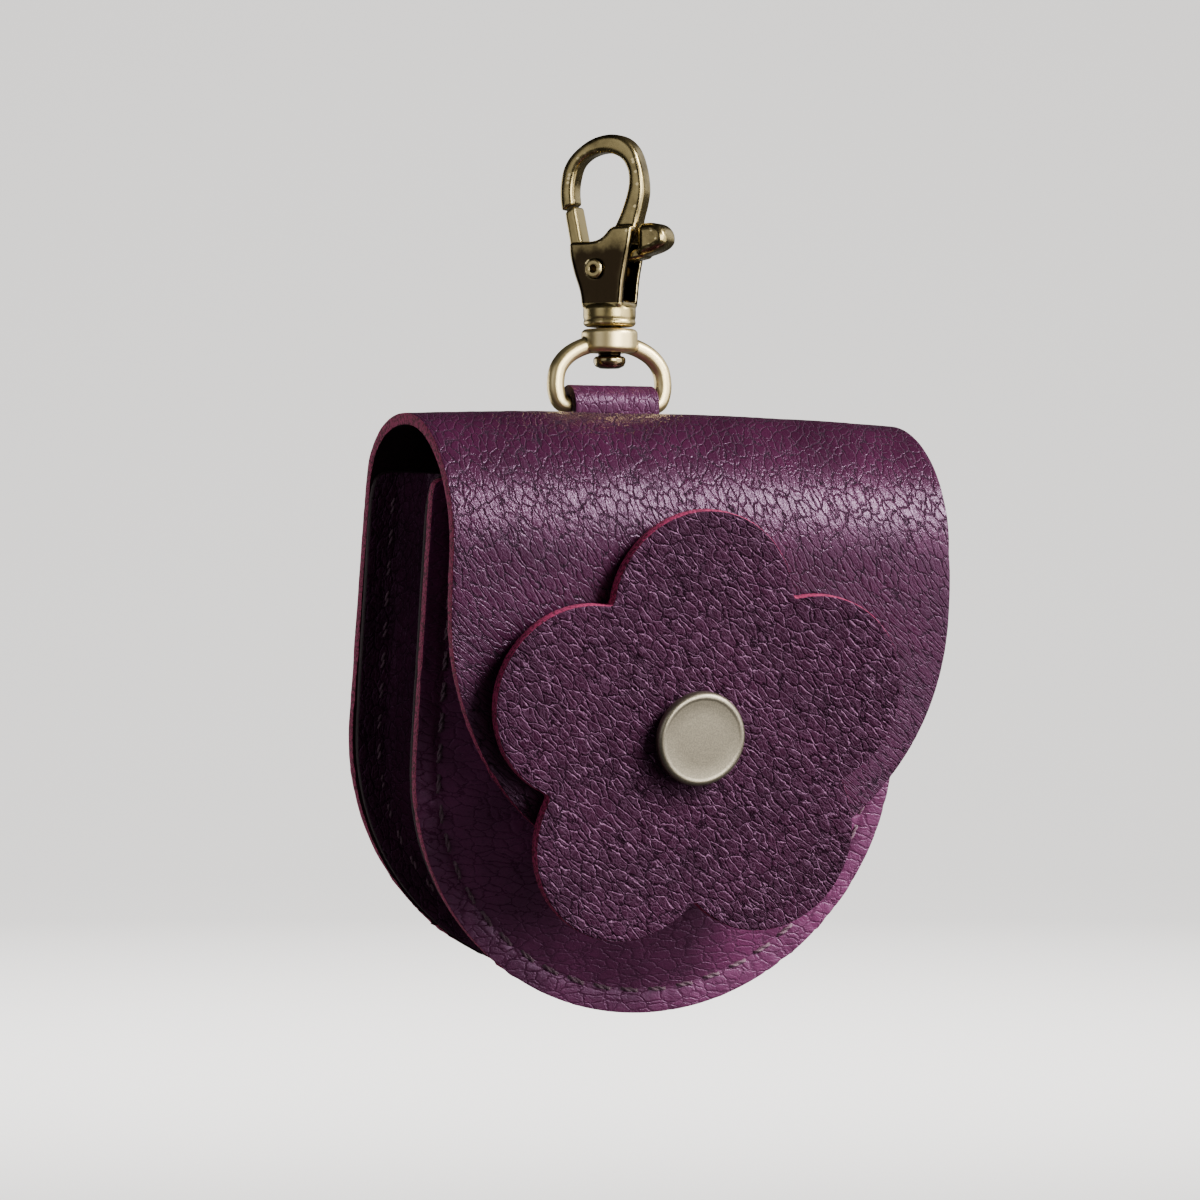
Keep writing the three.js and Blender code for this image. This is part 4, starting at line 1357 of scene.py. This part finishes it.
class POUCH_OT_clasp(bpy.types.Operator):
    """Model the cast hook with its gate lever and pin"""

    bl_idname = "pouch.clasp"
    bl_label = "Clasp"

    def execute(self, context):
        metal = shared(antique_brass, context.scene.pouch_colours)
        for obj, body in ((self.body(), "clasp"), (self.lever(), "gate"), (self.pin(), "clasp")):
            painted(obj, metal)
            placed(obj, CLASP_PLACE)
            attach(obj, body)
            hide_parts(obj.name.removesuffix("_metal"))
        return {"FINISHED"}

    def pivot_bore(self):
        return turned_about(rod("bore", PIN["shank"] + GAP, -CUT_HALF, CUT_HALF), *PIVOT)

    def body(self):
        shank_corner = (0.2, -12.4)
        hook = through(HOOK_OUTSIDE) + [HOOK_OUTSIDE[-1], shank_corner]
        hook += through(HOOK_INSIDE) + [HOOK_INSIDE[-1]]
        obj = plate("clasp_body_metal", hook, HOOK_THICK, rounding=0.7)
        combined(obj, [self.finger_room()], "DIFFERENCE")
        combined(obj, [self.housing(), self.base()], "UNION")
        foot = BASE["bottom"]
        post_bore = rod("post_bore", POST["radius"] + GAP, foot - CUT_PAST, foot + POST["depth"] + GAP)
        combined(obj, [self.channel(), self.pivot_bore(), post_bore], "DIFFERENCE")
        return rubbed(cast(obj, voxel=0.12, rounds=20), self.handled)

    def finger_room(self):
        """The room that the lever's finger swings through at the hook's nose."""
        inner_side, block = -3.2, 40
        room = turned_about(rod("finger_room", LEVER_REACH + GAP, -CUT_HALF, CUT_HALF), *PIVOT)
        rest = fresh("rest", bpy.ops.mesh.primitive_cube_add, size=block,
                     location=(block / 2 + inner_side, 0, PIVOT[1]))
        bpy.ops.object.transform_apply()
        combined(room, [rest], "DIFFERENCE")
        return room

    def housing(self):
        """The thick middle that the lever turns in. Its foot runs into the base."""
        overlap = 0.4
        foot = BASE["top"] - overlap
        left = through(((-3, foot), (-3.3, -19), (-4.2, -16.4), (-4.8, -14), (-4.9, -12.6)))
        shoulder = bent((-4.9, -12.6), (-4.9, -12.1), (-4.3, -12.1)) + [(-4.3, -12.1)]
        neck = bent((-1.6, -12.1), (0, -12), (0.9, -10.8)) + bent((0.9, -10.8), (1.4, -10.2), (2.2, -10.1))
        corner = bent((4.2, -10.1), (4.7, -10.2), (4.65, -10.9))
        right = through(((4.65, -10.9), (4.35, -12.7), (3.9, -14.7), (3.4, -17.4), (3.2, -19.4), (3, foot)))
        outline = left + shoulder + neck + corner + right + [(3, foot)]
        return plate("housing", outline, BODY_THICK, rounding=0.55)

    def base(self):
        """The round base, with a shallow groove about it."""
        radius, top, bottom = BASE["radius"], BASE["top"], BASE["bottom"]
        return spun("base", [
            (0, bottom), (radius - 0.4, bottom), (radius, bottom + 0.35), (radius, bottom + 0.75),
            (radius - 0.3, bottom + 0.95), (radius, bottom + 1.15), (radius, top - 0.35),
            (radius - 0.5, top), (0, top)])

    def channel(self):
        """The slot that the lever lies in, open at both sides."""
        side, floor = 8, BASE["top"] + 0.5
        return plate("channel", [
            (-side, -9.5), (1, -9.5), (1, -12.7), (side, -12.7), (side, floor), (2, floor), (-1.8, -19),
            (-4.2, -16.6), (-4.2, -15.6), (-side, -15.6)], LEVER_THICK + 2 * GAP, rounding=0)

    def handled(self, co):
        """The hook and the base are rubbed, the housing and its channel keep their patina."""
        base, housing, hook = 0.5, -0.4, 0.36
        if co.z < -20.5:
            return base
        return mix(housing, hook, smooth(-18, -10.5, co.z))

    def lever(self):
        finger = [about(PIVOT, LEVER_REACH, math.pi - turn) for turn in (0.97, 1.03, 1.1, 1.16)]
        hub = [about(PIVOT, LEVER_HUB, 0.25 - 3.15 * step / 16) for step in range(17)]
        top = bent((-3.6, -12), (-2.8, -13.4), (0, -13.4)) + [(0, -13.4), (6, -13.1)]
        obj = plate("gate_lever_metal", [(-5.3, -13), *finger, *top, (6, -14.5), *hub], LEVER_THICK,
                    rounding=0.45)
        knob = bent((5, -10), (7.2, -9.5), (8.4, -10.2)) + bent((8.4, -10.2), (9.5, -11), (9.3, -12.4))
        knob += bent((9.3, -12.4), (9, -13.4), (7.2, -13.9)) + [(7.2, -13.9), (5, -14.5)]
        combined(obj, [plate("knob", knob, KNOB_THICK, rounding=1.1)], "UNION")
        combined(obj, [self.pivot_bore()], "DIFFERENCE")
        finger_level, knob_level = 0.6, 0.3
        return rubbed(cast(obj, voxel=0.1, rounds=8), lambda co: finger_level if co.x < -2 else knob_level)

    def pin(self):
        face = BODY_THICK / 2 + GAP
        end = face + PIN["lip"]
        bore, shank, head = PIN["bore"], PIN["shank"], PIN["head"]
        obj = spun("gate_pin_metal", [
            (bore, -end), (head - 0.2, -end), (head, -face), (shank, -face), (shank, face), (head, face),
            (head - 0.2, end), (bore, end), (bore, -end)], rounding=0.08)
        return rubbed(turned_about(obj, *PIVOT), lambda co: 0.7)


class POUCH_OT_swivel(bpy.types.Operator):
    """Model the D ring with its collar, and the post that it turns on"""

    bl_idname = "pouch.swivel"
    bl_label = "Swivel"

    def execute(self, context):
        metal = shared(antique_brass, context.scene.pouch_colours)
        for obj in (self.ring(), self.post()):
            painted(obj, metal)
            placed(obj, PART_PLACE)
            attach(obj, "swivel")
            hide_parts(obj.name.removesuffix("_metal"))
        return {"FINISHED"}

    def ring(self):
        """A torus whose round path is drawn into a D, with the collar that turns on the post."""
        steps, loop = 8, 8
        corners = [(0, -26), *RING_HALF] + [(-x, z) for x, z in reversed(RING_HALF)]
        lap = corners[-1:] + corners + corners[:2]
        path = through(lap, steps)[steps:-steps]
        count = len(path)
        obj = fresh("swivel_ring_metal", bpy.ops.mesh.primitive_torus_add, major_segments=count,
                    minor_segments=16, major_radius=loop, minor_radius=WIRE)

        def follow(index, co):
            at = round(math.atan2(co.y, co.x) / (2 * math.pi) * count) % count
            here = Vector(path[at])
            ahead = (Vector(path[(at + 1) % count]) - Vector(path[at - 1])).normalized()
            out = math.hypot(co.x, co.y) - loop
            return Vector((here.x - ahead.y * out, co.z, here.y + ahead.x * out))

        reshape(obj, follow)
        edit(obj)
        face_outward()
        done()
        radius, top, bottom = COLLAR["radius"], COLLAR["top"], COLLAR["bottom"]
        collar = spun("collar", [
            (0, bottom), (radius - 0.5, bottom), (radius, bottom + 0.5), (radius, top - 0.4),
            (radius - 0.4, top), (0, top)], rounding=0.2)
        combined(obj, [collar], "UNION")
        combined(obj, [rod("hole", POST["radius"] + GAP, bottom - CUT_PAST, top + CUT_PAST)], "DIFFERENCE")
        return rubbed(cast(obj, voxel=0.12, rounds=5), lambda co: 1.0)

    def post(self):
        top, bottom, head, radius = POST["top"], POST["bottom"], POST["head"], POST["radius"]
        end = BASE["bottom"] + POST["depth"]
        obj = spun("swivel_post_metal", [
            (0, bottom), (head - 0.9, bottom + 0.05), (head - 0.25, bottom + 0.35), (head, bottom + 0.9),
            (head, top - 0.3), (head - 0.3, top), (radius, top), (radius, end), (0, end)], rounding=0.12)
        return rubbed(obj, lambda co: -0.1)


class POUCH_OT_snap(bpy.types.Operator):
    """Model the bare satin cap of the snap and finish its hidden half"""

    bl_idname = "pouch.snap"
    bl_label = "Snap"

    def execute(self, context):
        colours = context.scene.pouch_colours
        past_flap = 0.65
        under = -FLAP["y"] + 2 * GAP + PETAL_LEATHER
        face, tip = under + CAP["height"], -FLAP["y"] - LEATHER - past_flap
        radius, post = CAP["radius"], CAP["post"]
        obj = turned_about(spun("snap_cap_metal", [
            (0, tip), (post, tip), (post, under), (radius - 0.45, under), (radius, under + 0.5),
            (radius, face - 0.7), (radius - 0.1, face - 0.35), (radius - 0.32, face - 0.1),
            (radius - 0.6, face), (radius - 0.8, face - 0.02), (radius - 0.95, face - 0.07),
            (radius - 1.1, face - 0.1), (radius * 0.5, face - 0.07), (0, face - 0.05)], steps=96), *SNAP)
        painted(obj, shared(cap_finish, colours))
        placed(obj, POUCH_PLACE)
        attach(obj, "pouch")
        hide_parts("snap_cap")
        for name in ("snap_socket", "snap_stud"):
            painted(frame["nodes"][name], shared(antique_brass, colours))
        return {"FINISHED"}


class POUCH_PT_panel(bpy.types.Panel):
    """Lists the steps and the values of the pouch's finish"""

    bl_label = "Plum flap pouch"
    bl_idname = "POUCH_PT_panel"
    bl_space_type = "VIEW_3D"
    bl_region_type = "UI"
    bl_category = "Pouch"

    def draw(self, context):
        for step in STEPS:
            self.layout.operator(step.bl_idname)
        for group in (context.scene.pouch_sizes, context.scene.pouch_colours):
            for name in group.__annotations__:
                self.layout.prop(group, name)


# The stage comes last, because one of its lamps needs the finished metal pieces
STEPS = (
    POUCH_OT_back_and_flap,
    POUCH_OT_front,
    POUCH_OT_gusset,
    POUCH_OT_tab,
    POUCH_OT_flower,
    POUCH_OT_stitches,
    POUCH_OT_clasp,
    POUCH_OT_swivel,
    POUCH_OT_snap,
    POUCH_OT_stage,
)
CLASSES = (PouchSizes, PouchColours, *STEPS, POUCH_PT_panel)


def register():
    for cls in CLASSES:
        bpy.utils.register_class(cls)
    bpy.types.Scene.pouch_sizes = PointerProperty(type=PouchSizes)
    bpy.types.Scene.pouch_colours = PointerProperty(type=PouchColours)


def unregister():
    del bpy.types.Scene.pouch_colours
    del bpy.types.Scene.pouch_sizes
    for cls in reversed(CLASSES):
        bpy.utils.unregister_class(cls)


def main():
    register()
    for step in STEPS:
        group, name = step.bl_idname.split(".")
        getattr(getattr(bpy.ops, group), name)()


if __name__ == "__main__":
    main()
